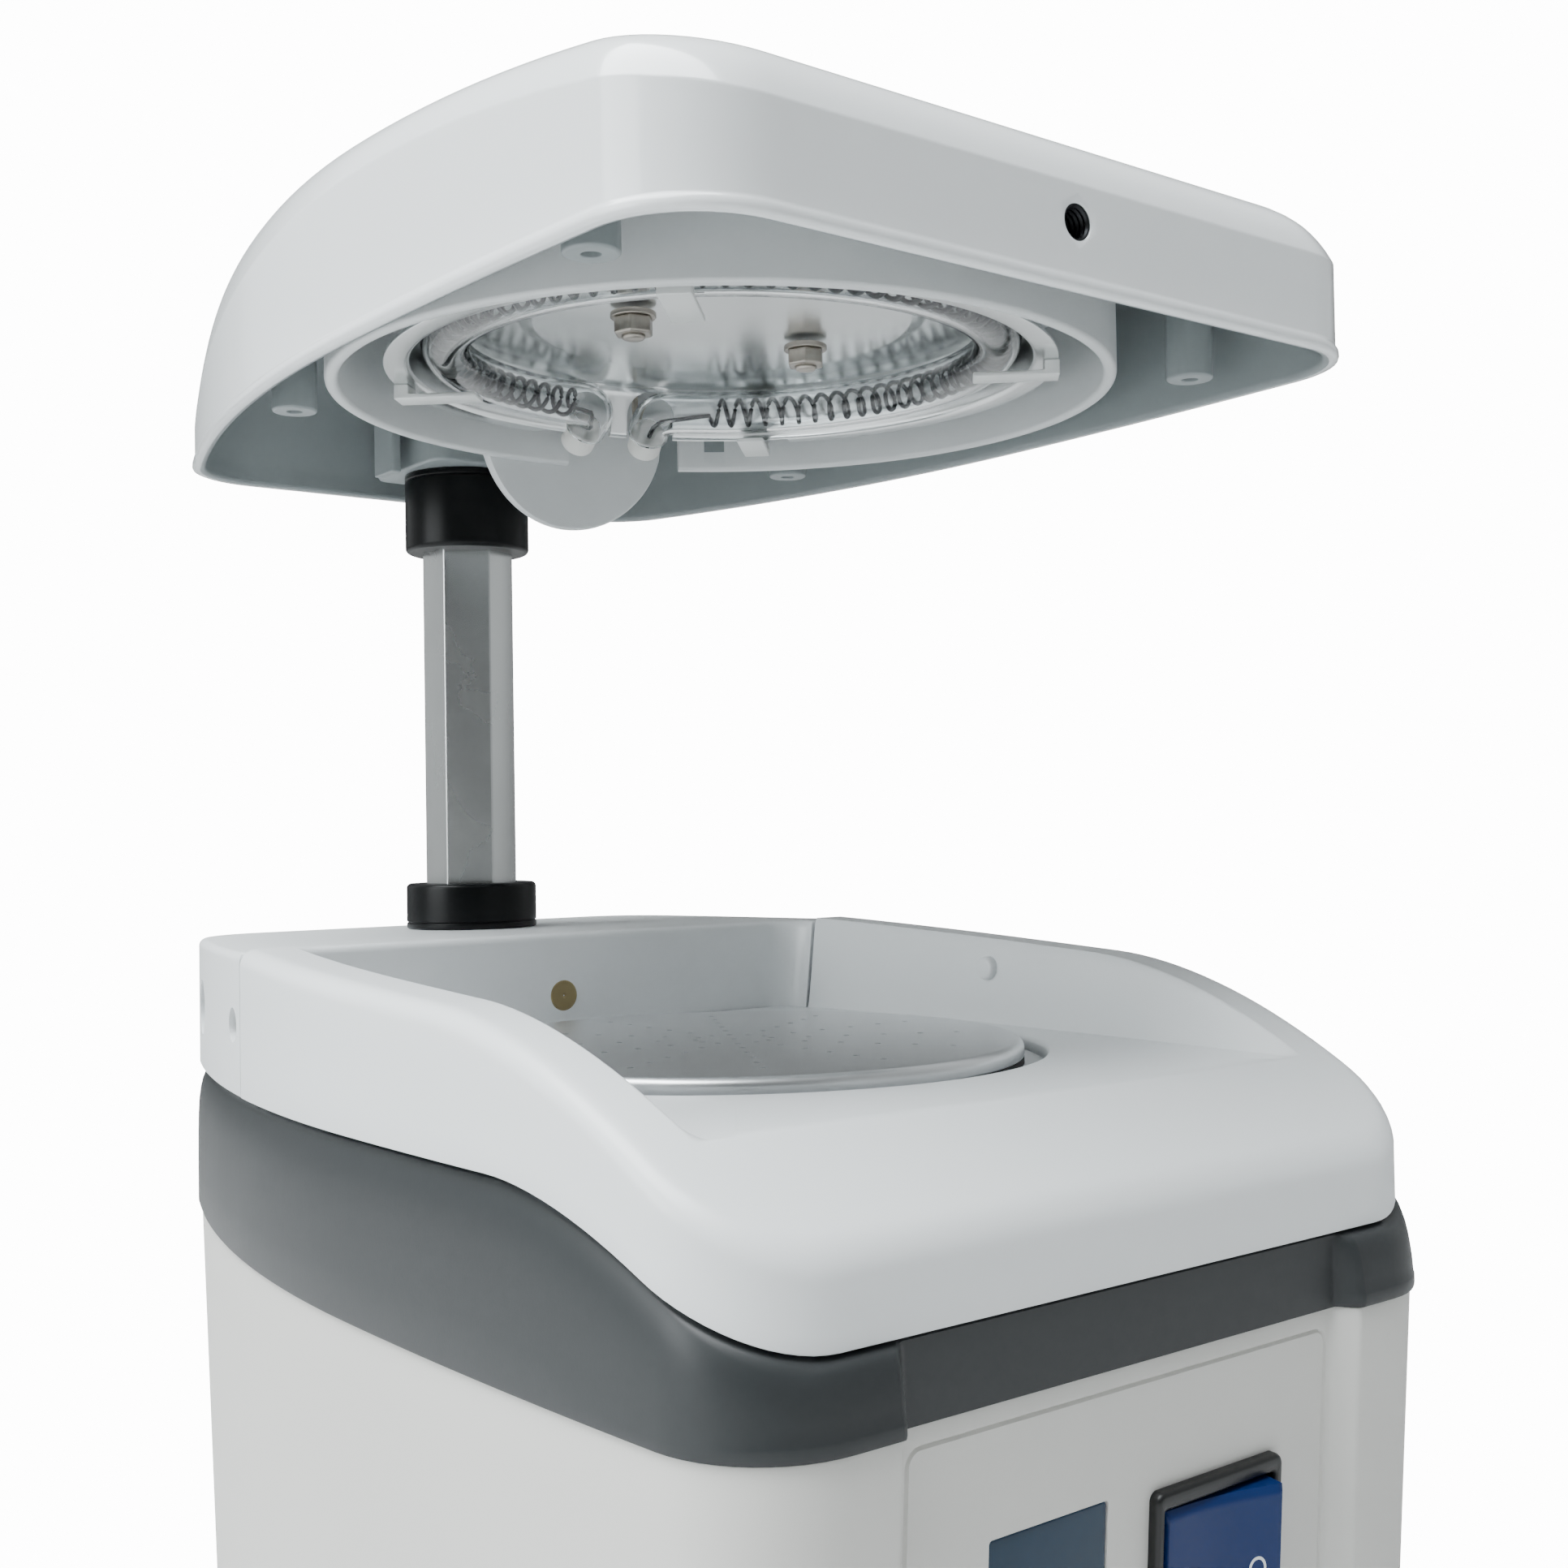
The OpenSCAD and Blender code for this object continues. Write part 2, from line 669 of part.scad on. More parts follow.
// Fan housing with suction mouth and exhaust windows
module fan_housing() color("#4a4d50") difference() {
    translate([0, axis_y, fan_low]) cylinder(r = fan_r, h = fan_h);
    translate([0, axis_y, fan_low + fan_gap]) cylinder(r = fan_r - 2, h = fan_h - 2 * fan_gap);
    translate([0, axis_y, fan_low + fan_h / 2])
        cylinder(r = spigot_r + seat_gap, h = fan_h);
    translate([0, axis_y, fan_low - 1]) cylinder(r = bearing_r + 2, h = fan_gap + 2);
    for (i = [0 : 5]) translate([0, axis_y, fan_low + fan_gap]) rotate(60 * i)
        translate([fan_r - 6, -10, 0]) cube([12, 20, fan_h - 2 * fan_gap]);
}

impeller_low = fan_low + 2 * fan_gap;
impeller_h = fan_h - 4 * fan_gap;
module impeller() color("silver") translate([0, axis_y, impeller_low]) difference() {
    union() {
        cylinder(r = fan_r - 2 - fan_gap, h = 1.2);
        cylinder(r = shaft_r + 5, h = impeller_h);
        for (i = [0 : 8]) rotate(40 * i) translate([shaft_r + 4, -0.6, 0.6])
            cube([fan_r - 8 - fan_gap - shaft_r, 1.2, impeller_h - 0.6]);
    }
    translate([0, 0, -1]) cylinder(r = shaft_r, h = impeller_h + 2);
}

module motor_shaft() color("silver")
    translate([0, axis_y, can_low + 2.5])
        cylinder(r = shaft_r, h = impeller_low + impeller_h - can_low - 2.5);

rotor_low = can_low + bearing_h + 5;
rotor_h = can_h - 2 * bearing_h - 10;
module motor_rotor() color("#8a5a3a") ring(shaft_r, can_r - 17, rotor_low, rotor_low + rotor_h);
module motor_stator() color("#7a4a30") ring(can_r - 15.5, can_r - 2, rotor_low, rotor_low + rotor_h);

// Motor can with bearing seats at both ends
module motor_can() color("#9a9da0") difference() {
    union() {
        translate([0, axis_y, can_low]) cylinder(r = can_r, h = can_h);
        translate([0, axis_y, can_low]) cylinder(r = can_r + 6, h = 2.5);
    }
    translate([0, axis_y, can_low + bearing_h + 2])
        cylinder(r = can_r - 2, h = can_h - 2 * bearing_h - 4);
    translate([0, axis_y, can_low + 2]) cylinder(r = bearing_r, h = can_h);
}

module motor_bearings() color("silver") {
    ring(shaft_r + shaft_gap, bearing_r, can_low + 2, can_low + 2 + bearing_h);
    ring(shaft_r + shaft_gap, bearing_r, can_top - bearing_h, can_top);
}

// Cradle that stands on the bottom plate and carries the motor
module motor_cradle() color("#6d7073") difference() {
    ring(can_r + 2, can_r + 6, foot_h + plate_t, can_low);
    for (i = [0 : 3]) translate([0, axis_y, foot_h + plate_t + 4]) rotate(45 + 90 * i)
        translate([can_r - 4, -14, 0]) cube([20, 28, can_low - foot_h - plate_t - 8]);
}

// Guide bush with the side barrel of the brake
barrel_end = 58;
module guide_bush() color("#3c4043") difference() {
    union() {
        translate([0, column_y, bush_low]) cylinder(r = bush_r, h = bush_top - bush_low);
        translate([-barrel_end, column_y, brake_z]) rotate([0, 90, 0])
            cylinder(r = brake_r + 2.6, h = barrel_end - 5);
    }
    hex(hex_af + 2 * hex_gap, bush_low - 1, bush_top + 1);
    translate([-barrel_end - 1, column_y, brake_z]) rotate([0, 90, 0])
        cylinder(r = brake_r, h = barrel_end - 5);
}

module brake_x(x0, x1, r) {
    translate([-x1, column_y, brake_z]) rotate([0, 90, 0]) cylinder(r = r, h = x1 - x0);
}
pad_near = hex_af / 2 + 0.1;
module brake_pad() color("#e8e2c8") brake_x(pad_near, 18, brake_r - 0.1);
module brake_spring() color("silver") difference() {
    brake_x(18, 34, brake_r - 0.3);
    brake_x(17, 35, brake_r - 1.3);
}
module brake_screw() color("silver") difference() {
    brake_x(34, 46, brake_r - 0.05);
    brake_x(42, 47, 2);
}

module guide_tube() color("#a6a9ab") translate([0, column_y, 0]) difference() {
    translate([0, 0, foot_h + plate_t]) cylinder(r = bush_r, h = bush_low - foot_h - plate_t);
    translate([0, 0, foot_h]) cylinder(r = guide_bore, h = bush_low);
}

module lower_collar() color("#1d1f21") difference() {
    translate([0, column_y, block_z]) {
        cylinder(r = low_collar_r, h = low_collar_h - 1);
        translate([0, 0, low_collar_h - 1])
            cylinder(r1 = low_collar_r, r2 = low_collar_r - 1, h = 1);
    }
    hex(hex_af + 2 * hex_gap, block_z - 1, collar_top + 1);
}

// Hexagonal column tube
module column() color("#d9dbdc") difference() {
    hex(hex_af, column_low, column_high);
    translate([0, column_y, column_low - 1]) cylinder(r = column_bore, h = column_high);
}

module upper_collar() color("#1d1f21") difference() {
    translate([0, column_y, up_collar_low]) {
        cylinder(r1 = up_collar_r - 1, r2 = up_collar_r, h = 1);
        translate([0, 0, 1]) cylinder(r = up_collar_r, h = up_collar_h - 1);
    }
    hex(hex_af, up_collar_low - 1, block_under + 1);
}

// Slider at the foot of the column, which stops against the bush
module column_slider() color("#dfe1da") difference() {
    translate([0, column_y, column_low]) cylinder(r = guide_bore - 0.08, h = slider_h);
    hex(hex_af, column_low - 1, column_low + slider_h + 1);
}

module display_window() color("#3d5f86") on_panel(display_x, display_top - display_h / 2)
    box_at(display_w - 0.4, 1.6, display_h - 0.4, 0.2);
module display_module() color("#2f6f4a") on_panel(display_x, display_top - display_h / 2)
    box_at(display_w + 6, 4, display_h + 4, wall + 0.3);
module control_board() color("#2f6f4a") on_panel(display_x, key_z)
    union() {
        box_at(3 * key_pitch + 10, 1.6, 16, wall + 6);
        for (i = [-1 : 1]) translate([i * key_pitch, 0, 0]) box_at(6, 3.5, 6, wall + 2.6);
        for (s = [-1, 1]) translate([s * (1.5 * key_pitch + 3), 0, 0])
            box_at(3, 6, 14, wall + 0.1);
    }

module key_at(i) on_panel(display_x + i * key_pitch, key_z) rotate([90, 0, 0]) {
    translate([0, 0, -wall - 0.3]) cylinder(r = key_r, h = wall + 0.3 + key_proud);
    translate([0, 0, -wall - 1.5]) cylinder(r = key_r + 1.4, h = 1.2);
}
module key_left() color("#c9ccce") key_at(-1);
module key_middle() color("#c9ccce") key_at(0);
module key_right() color("#c9ccce") key_at(1);

// Switch frame with its box behind the panel
mouth_w = switch_w - 2 * switch_border;
mouth_h = switch_h - 2 * switch_border;
module switch_frame() color("#1b1c1f") on_panel(switch_x, switch_z) difference() {
    union() {
        box_at(switch_w, switch_proud, switch_h, -switch_proud);
        box_at(switch_w - 2.2, 20, switch_h - 2.2, 0);
    }
    box_at(mouth_w + 2.2, 12 + switch_proud, mouth_h, -switch_proud - 1);
    translate([0, pivot_in, 0])
        cylinder(r = pin_r + pin_gap, h = mouth_h + 2.4, center = true);
}

// Rocker, drawn level and then tilted so that its right half stands proud
pivot_in = 1;
pin_r = 0.9;
pin_gap = 0.06;
module rocker() color("#1f3f9e") on_panel(switch_x, switch_z)
    translate([0, pivot_in, 0]) rotate(-rocker_tilt) rocker_block();
module rocker_block() {
    half = mouth_w / 2;
    rise = pivot_in + switch_proud + 1.5;
    translate([0, 0, -mouth_h / 2 + 0.4]) linear_extrude(mouth_h - 0.8)
        polygon([[-half, -rise], [0, -rise + 1], [half, -rise], [half, 0], [3, 4],
            [-3, 4], [-half, 0]]);
    cylinder(r = pin_r, h = mouth_h + 2, center = true);
}

// Rear power inlet with its pins and screws, and the fuse cap above it
inlet_w = 20;
inlet_h = 28;
inlet_flange_w = 23;
inlet_flange_h = 50;
inlet_screw = 40;
inlet_screw_r = 1.5;
fuse_r = 6;
fuse_z = inlet_z + 36;
module power_inlet() color("#1e1f21") on_rear(inlet_x, inlet_z) difference() {
    union() {
        box_at(inlet_flange_w, 2, inlet_flange_h, 0);
        box_at(inlet_w, 20, inlet_h, -20);
    }
    box_at(inlet_w - 8, 18, inlet_h - 5, -14);
    for (s = [-1, 1]) translate([0, -1, s * inlet_screw / 2]) rotate([-90, 0, 0])
        cylinder(r = inlet_screw_r + 0.1, h = 4);
}
module inlet_pins() color("silver") on_rear(inlet_x, inlet_z)
    for (p = [[-1.5, -7], [1.5, 0], [-1.5, 7]])
        translate([p[0] - 2, -14, p[1] - 1]) cube([4, 10, 2]);
module inlet_screws() color("silver") on_rear(inlet_x, inlet_z)
    for (s = [-1, 1]) translate([0, 0, s * inlet_screw / 2]) rotate([-90, 0, 0]) {
        translate([0, 0, -wall]) cylinder(r = inlet_screw_r, h = wall + 2);
        translate([0, 0, 2]) cylinder(r1 = 2.8, r2 = 1.8, h = 0.9);
    }
module fuse_cap() color("#2c2d30") on_rear(inlet_x, fuse_z) rotate([-90, 0, 0])
    difference() {
        union() {
            cylinder(r = fuse_r + 1.5, h = 2);
            translate([0, 0, -24]) cylinder(r = fuse_r, h = 25);
        }
        translate([-1, -4, 1]) cube([2, 8, 2]);
    }

// Rear exhaust grille with upright slots
module exhaust_grille() color("#55585c") on_rear(grille_x, grille_z) difference() {
    union() {
        box_at(grille_w + 4, 1.6, grille_h + 4, 0);
        box_at(grille_w - 0.6, wall, grille_h - 0.6, -wall);
    }
    for (i = [0 : 6]) translate([(i - 3) * grille_w / 7.6, 0, 0])
        box_at(3, 4 * wall, grille_h - 8, -2 * wall);
}

// Dome of the head: squarish round-over that grows lower to the front
dome_y = (head_front + rear_y) / 2;
crown_y = axis_y + 80;
rings_s = [1, 0.992, 0.98, 0.96, 0.93, 0.88, 0.8, 0.66, 0.45, 0.2];
function crown_at(y) = crown_h
    - crown_fall * pow(max(0, crown_y - y) / (crown_y - head_front), 2.5);
function dome_ring(e, s) = [for (p = outline(e, head_front, rear_y))
    let(y = dome_y + (p[1] - dome_y) * s)
    [p[0] * s, y, rim_z + (crown_at(y) - e) * pow(1 - pow(s, dome_n), 1 / dome_n)]];

module dome(e, low) {
    loft(concat([lift(outline(e, head_front, rear_y), rim_z - low)],
        [for (i = [(low > 0 ? 0 : 1) : len(rings_s) - 1]) dome_ring(e, rings_s[i])]));
}

// Places of the four screw bosses
module at_bosses() {
    for (s = [-1, 1]) {
        translate([s * boss_front_x, axis_y - boss_y, 0]) children();
        translate([s * boss_rear_x, axis_y + boss_y, 0]) children();
    }
}
boss_low = rim_z + 2.3;

// Hangers that carry the heater pan
module at_hangers() {
    for (a = [45, 135, 225, 315]) translate([0, axis_y, 0]) rotate(a)
        translate([hanger_r, 0, 0]) children();
}

// Domed head shell, open below
module head_shell() color("#f1f3f4") difference() {
    dome(0, 0);
    difference() {
        dome(wall, 1);
        at_bosses() translate([0, 0, boss_low]) cylinder(r = boss_r, h = crown_h);
        at_hangers() translate([0, 0, pan_top]) cylinder(r = 5, h = crown_h);
        translate([-socket_half, column_y - socket_half, block_under])
            cube([2 * socket_half, 2 * socket_half, crown_h]);
        translate([0, head_front + 1, rim_z + handle_up]) rotate([-90, 0, 0])
            cylinder(r = handle_r + 4, h = handle_l + wall + 1);
        mirror_x() translate([socket_half + 3, column_y - 5, rim_z + 1.5])
            cube([2.4, 10, crown_h]);
    }
    at_bosses() translate([0, 0, boss_low - 1]) cylinder(r = boss_hole_r, h = boss_hole_l + 1);
    at_hangers() translate([0, 0, pan_top - 1]) cylinder(r = 1.6, h = 9);
    hex(hex_af, block_under - 1, column_high + seat_gap);
    for (z = socket_screw_z) translate([0, column_y, z]) rotate([0, 90, 0])
        cylinder(r = 2.5, h = socket_half + 1);
    translate([0, head_front - 1, rim_z + handle_up]) rotate([-90, 0, 0])
        cylinder(r = handle_r + 0.5, h = wall + 3);
    translate([0, insert_y, rim_z + handle_up]) rotate([-90, 0, 0])
        cylinder(r = handle_r + 1.6, h = handle_l + wall);
}
insert_y = head_front + wall + 0.6;
socket_screw_z = [block_under + 8, block_under + 20];

module socket_screws() color("silver") for (z = socket_screw_z)
    translate([0, column_y, z]) rotate([0, 90, 0]) {
        translate([0, 0, hex_af / 2]) cylinder(r = 2.5, h = socket_half - hex_af / 2);
        translate([0, 0, socket_half]) difference() {
            cylinder(r = 4.2, h = 2.4);
            translate([0, 0, 1]) cylinder(r = 2, h = 2, $fn = 6);
        }
    }

// Threaded insert in the boss behind the front hole
module handle_insert() color("#3a3c3f")
    translate([0, insert_y, rim_z + handle_up]) rotate([-90, 0, 0])
        difference() {
            cylinder(r = handle_r + 1.55, h = handle_l);
            translate([0, 0, -1]) cylinder(r = handle_r, h = handle_l + 2);
        }

// Round shroud with its pan, and the tongue behind the tube ends
module heater_shroud() color("#dfe3e4") {
    difference() {
        ring(shroud_r - shroud_t, shroud_r, shroud_low, pan_top);
        translate([0, axis_y, 0]) rotate(90 - gap_turn) translate([0, -spout_half, 0])
            cube([2 * shroud_r, 2 * spout_half, shroud_low + 9]);
    }
    difference() {
        ring(pan_hole, shroud_r - shroud_t + eps, pan_top - pan_t, pan_top);
        at_hangers() translate([0, 0, pan_top - pan_t - 1]) cylinder(r = 1.6, h = pan_t + 2);
        at_leads() translate([0, 0, -1]) cylinder(r = 1.2, h = 3 * wall + pan_top - tube_z);
    }
    tongue();
}
spout_half = 15;
tongue_out = 2.2;

// Curved tongue that hangs below the rim, round at its foot
module tongue() {
    r = shroud_r + tongue_out;
    reach = r * sin(tongue_half);
    intersection() {
        ring(shroud_r - 0.4, r, shroud_low - tongue_drop, shroud_low + 16);
        translate([0, axis_y, 0]) rotate(90 - gap_turn) rotate([90, 0, 90])
            linear_extrude(2 * r) union() {
                translate([-reach, shroud_low]) square([2 * reach, 20]);
                intersection() {
                    translate([0, shroud_low + reach - tongue_drop]) circle(reach);
                    translate([-reach, shroud_low - tongue_drop])
                        square([2 * reach, tongue_drop + eps]);
                }
            }
    }
}

module shroud_screws() color("silver") at_hangers() {
    translate([0, 0, pan_top - pan_t]) cylinder(r = 1.6, h = pan_t + 6);
    translate([0, 0, pan_top - pan_t - 1.8]) cylinder(r = 3.2, h = 1.8);
}

// Spun reflector dish with a flat centre, an outer flange and two notches for the tube ends
module reflector() color("#d5d8da") difference() {
    dish();
    translate([0, axis_y, tube_z]) for (s = [-1, 1])
        rotate(90 - gap_turn + s * tube_gap) translate([dish_r - 6, 0, 0]) {
            rotate([0, 90, 0]) cylinder(r = tube_r + 0.8, h = 14);
            translate([0, -tube_r - 0.8, -10]) cube([14, 2 * tube_r + 1.6, 10]);
        }
}
module dish() translate([0, axis_y, 0]) rotate_extrude() polygon([
    [0, disc_z], [disc_r + 3, disc_z], [disc_r + 12, disc_z - 2], [dish_r - 1.5, disc_z - 2],
    [dish_r, flange_z], [flange_r, flange_z], [flange_r, flange_z + sheet_t],
    [dish_r + sheet_t, flange_z + sheet_t], [dish_r - 1, disc_z - 2 + sheet_t],
    [disc_r + 12, disc_z - 2 + sheet_t], [disc_r + 3, disc_z + sheet_t], [0, disc_z + sheet_t]
]);
flange_z = shroud_low + flange_up;

module centre_disc() color("#f0f1f0")
    translate([0, axis_y, disc_z - 0.8]) cylinder(r = disc_r, h = 0.8);

// Two screws with washers that hang the reflector from the pan
centre_x = disc_r - 14.6;
module centre_screws() color("#a8a49c") for (s = [-1, 1])
    translate([s * centre_x, axis_y, 0]) {
        translate([0, 0, disc_z - 1.8]) cylinder(r = 4.6, h = 1);
        translate([0, 0, disc_z - 5.6]) cylinder(r = 4, h = 3.8, $fn = 6);
        translate([0, 0, disc_z + sheet_t])
            cylinder(r = 4.4, h = pan_top - pan_t - disc_z - sheet_t);
    }

// Quartz tube ring, open behind, with its ends turned outwards
tube_from = 90 - gap_turn + tube_gap;
tube_turn = 360 - 2 * tube_gap;
module tube_ends(r, from, to) {
    for (s = [-1, 1]) rotate(90 - gap_turn + s * tube_gap) translate([from, 0, 0])
        rotate([0, 90, 0]) cylinder(r = r, h = to - from);
}
module quartz_tube() color("#dfe8ec", 0.4) translate([0, axis_y, tube_z]) difference() {
    union() {
        rotate(tube_from) rotate_extrude(angle = tube_turn)
            translate([ring_r, 0]) circle(tube_r, $fn = 32);
        tube_ends(tube_r, ring_r - tube_r + 0.6, ring_r + end_l);
    }
    rotate(tube_from) rotate_extrude(angle = tube_turn)
        translate([ring_r, 0]) circle(tube_r - tube_t, $fn = 32);
    tube_ends(tube_r - tube_t, ring_r - tube_r + 0.6 + tube_t, ring_r + end_l + 1);
}

// Heating coil: one wire wound along the tube ring
coil_from = tube_from + 3;
coil_turn = tube_turn - 11;
curl_rings = 8;
coil_steps = curls * curl_rings;
wire_sides = 6;
function coil_centre(i) =
    let(t = i / coil_steps, a = coil_from + coil_turn * t, b = 360 * curls * t,
        q = ring_r + coil_r * cos(b))
    [q * cos(a), q * sin(a), coil_r * sin(b)];
lead_in = [for (s = [0, 1])
    let(a = 90 - gap_turn + (s == 0 ? 1 : -1) * tube_gap)
    [(ring_r + end_l - 1) * cos(a), (ring_r + end_l - 1) * sin(a), 0]];
lead_bend = [for (s = [0, 1])
    let(a = 90 - gap_turn + (s == 0 ? 1 : -1) * tube_gap)
    [(ring_r + 1) * cos(a), (ring_r + 1) * sin(a), 0]];
coil_path = concat([lead_in[0], lead_bend[0]],
    [for (i = [0 : coil_steps]) coil_centre(i)], [lead_bend[1], lead_in[1]]);

// Least distance between two stretches of the wire, surface to surface
coil_gap = min([for (i = [0 : coil_steps - 12]) for (j = [4 : 12])
    norm(coil_centre(i) - coil_centre(i + j))]) - 2 * wire_r;
echo(coil_gap = coil_gap);

// Tube swept along a path, its sides kept level
module sweep(path, r, sides) {
    n = len(path);
    rings = [for (i = [0 : n - 1])
        let(
            d = path[min(n - 1, i + 1)] - path[max(0, i - 1)],
            t = d / norm(d),
            up = abs(t[2]) > 0.95 ? [1, 0, 0] : [0, 0, 1],
            u0 = cross(up, t),
            u = u0 / norm(u0),
            v = cross(t, u)
        )
        [for (k = [0 : sides - 1])
            let(a = 360 * k / sides) path[i] + r * (cos(a) * u + sin(a) * v)]];
    points = [for (q = rings) for (p = q) p];
    walls = [for (i = [0 : n - 2]) for (k = [0 : sides - 1])
        let(m = (k + 1) % sides, a = i * sides + k, b = i * sides + m)
        each [[a, a + sides, b + sides], [a, b + sides, b]]];
    ends = [[for (k = [0 : sides - 1]) k],
        [for (k = [sides - 1 : -1 : 0]) (n - 1) * sides + k]];
    polyhedron(points, concat(walls, ends), convexity = 10);
}
module heating_coil() color("#3b3b3e")
    translate([0, axis_y, tube_z]) sweep(coil_path, wire_r, wire_sides);

// Ceramic beads that close the tube ends
bead_l = 6;
module ceramic_ends() color("#e6e3da") translate([0, axis_y, tube_z])
    for (s = [-1, 1]) rotate(90 - gap_turn + s * tube_gap)
        translate([ring_r + end_l, 0, 0]) rotate([0, 90, 0]) difference() {
            cylinder(r = tube_r - 0.8, h = bead_l);
            translate([0, 0, 2]) cylinder(r = 0.8, h = bead_l);
        }

// Spring clips that hold the tube to the reflector flange
clip_turn = [-43, 47, 137, 227];
module tube_clips() color("#cfd2d3") translate([0, axis_y, 0])
    for (a = clip_turn) rotate(a) {
        translate([ring_r - 5, -3, tube_z - tube_r - 1.3])
            cube([flange_r - ring_r + 5, 6, 1]);
        translate([flange_r - 3, -3, tube_z - tube_r - 1.3])
            cube([3, 6, flange_z - tube_z + tube_r + 1.3]);
    }

// Terminal block on the pan, and the leads up to it
lead_at = ring_r + end_l + bead_l + 1;
lead_reach = 12.7;
block_x = lead_at * sin(gap_turn);
block_y = axis_y + lead_at * cos(gap_turn) - lead_reach;
lead_top = pan_top + 5;
lead_r = 0.7;
module terminal_block() color("#e3ded0") translate([block_x, block_y, pan_top])
    difference() {
        translate([-14, -6, 0]) cube([28, 12, 9]);
        for (s = [-1, 1]) translate([7 * s, 0, 7]) cylinder(r = 2, h = 3);
        at_leads_local() rotate([90, 0, 0]) cylinder(r = lead_r + 0.1, h = 40);
    }
module at_leads_local() translate([-block_x, -block_y, -pan_top]) at_leads()
    translate([0, 0, lead_top - tube_z]) children();
module at_leads() translate([0, axis_y, tube_z])
    for (s = [-1, 1]) rotate(90 - gap_turn + s * tube_gap)
        translate([lead_at, 0, 0])
            rotate(gap_turn - s * tube_gap - 90) children();
module heater_leads() color("#d8d2c4") {
    at_leads() {
        cylinder(r = lead_r, h = lead_top - tube_z);
        translate([0, 0, lead_top - tube_z]) rotate([90, 0, 0]) cylinder(r = lead_r, h = 8);
    }
    translate([0, axis_y, tube_z]) for (s = [-1, 1])
        rotate(90 - gap_turn + s * tube_gap)
            translate([ring_r + end_l + bead_l - 3, 0, 0]) rotate([0, 90, 0])
                cylinder(r = lead_r, h = 4);
}

body_shell();
belt();
cover_tray();
rear_block();
base_plate();
feet();
foot_screws();
forming_plate();
plate_seal();
vacuum_cup();
fan_housing();
impeller();
motor_shaft();
motor_rotor();
motor_stator();
motor_can();
motor_bearings();
motor_cradle();
guide_bush();
guide_tube();
lower_collar();
brake_pad();
brake_spring();
brake_screw();
brass_stud();
side_screws();
display_window();
display_module();
control_board();
switch_frame();
rocker();
key_left();
key_middle();
key_right();
power_inlet();
inlet_pins();
inlet_screws();
fuse_cap();
exhaust_grille();
head_shell();
heater_shroud();
shroud_screws();
reflector();
centre_disc();
centre_screws();
quartz_tube();
heating_coil();
ceramic_ends();
tube_clips();
terminal_block();
heater_leads();
handle_insert();
column();
upper_collar();
column_slider();
socket_screws();
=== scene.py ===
"""Looks of a dental vacuum former: rounded covers, heater ring with its glowless coil, perforated
plate, bright column and front controls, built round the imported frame."""

import json
import math

import bmesh
import bpy
import numpy as np
from mathutils import Matrix


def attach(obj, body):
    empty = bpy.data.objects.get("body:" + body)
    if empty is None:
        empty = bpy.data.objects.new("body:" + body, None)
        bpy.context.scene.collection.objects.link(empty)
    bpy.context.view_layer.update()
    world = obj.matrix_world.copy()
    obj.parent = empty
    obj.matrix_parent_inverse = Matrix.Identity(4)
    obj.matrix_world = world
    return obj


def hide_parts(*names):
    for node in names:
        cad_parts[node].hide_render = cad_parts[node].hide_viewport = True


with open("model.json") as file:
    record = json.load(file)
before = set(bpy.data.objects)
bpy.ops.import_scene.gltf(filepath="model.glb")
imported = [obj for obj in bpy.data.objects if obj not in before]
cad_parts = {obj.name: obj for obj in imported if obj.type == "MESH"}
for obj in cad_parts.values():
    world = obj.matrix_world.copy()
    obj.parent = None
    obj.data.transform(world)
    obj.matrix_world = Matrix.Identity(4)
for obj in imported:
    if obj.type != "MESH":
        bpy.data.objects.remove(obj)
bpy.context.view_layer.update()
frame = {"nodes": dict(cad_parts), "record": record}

# Main sizes in millimetres. Most are those of the part's source; the heater's heights and the
# rear bow are nearer to the photograph. Turns are degrees from the rear towards +X, leans radians.
MM = 0.001
MERGE = 0.002 * MM
AXIS_Y, COLUMN_Y = -12.0, 96.0
FRONT, REAR = -121.0, 121.0
FOOT_TOP, BODY_TOP = 6.0, 113.0
DECK, PLATE_TOP = 152.2, 154.3
BLOCK_TOP, SEAM_BACK, WELL_BACK = 173.2, 45.0, 53.0
RIM, HEAD_FRONT = 281.2, -109.4
SHROUD_LOW, PAN_TOP = 283.0, 306.4
TUBE_Z, DISC_Z, ROOF_Z, FLANGE_Z = 292.4, 297.6, 298.8, 287.5
GAP_TURN, TUBE_GAP, TONGUE_TURN, SPOUT_TURN = 13.0, 7.0, 8.0, 17.5
REAR_BOW = 370.0
RISE = BODY_TOP - FOOT_TOP
PANEL_LEAN, REAR_LEAN = math.atan(6.8 / RISE), math.atan(3.2 / RISE)
CORNER, COVER_FRONT, COVER_IN, PANEL_FRONT = 20.0, -117.7, 0.6, -116.2
SIDE_HOLE_Z, HOLE_STEP = 158.5, 7.6
TUBE_RING, HANDLE_Z = 55.0, 292.3
DISPLAY, SWITCH = (-18.6, 82.8), (19, 79)
KEY_PITCH, KEY_Z, ROCKER_HALF = 12, 58, 12.5

# Turns an upright axis into the part from its front
INWARD = [[1, 0, 0], [0, 0, 1], [0, -1, 0]]

# Strength of the white surroundings and tint of the light
WHITE, COOL = 14.0, (0.945, 0.985, 1.0)


# Shapes

def smooth(t):
    """Soft step: 3t^2 - 2t^3 between 0 and 1."""
    t = np.clip(t, 0, 1)
    return t * t * (3 - 2 * t)


def half_width(y):
    """Half width of the plan: 84 less the square of the depth over twice the side's radius."""
    d = np.asarray(y, float) - AXIS_Y
    return 84 - d * d / np.where(d > 0, 2 * REAR_BOW, 2400.0)


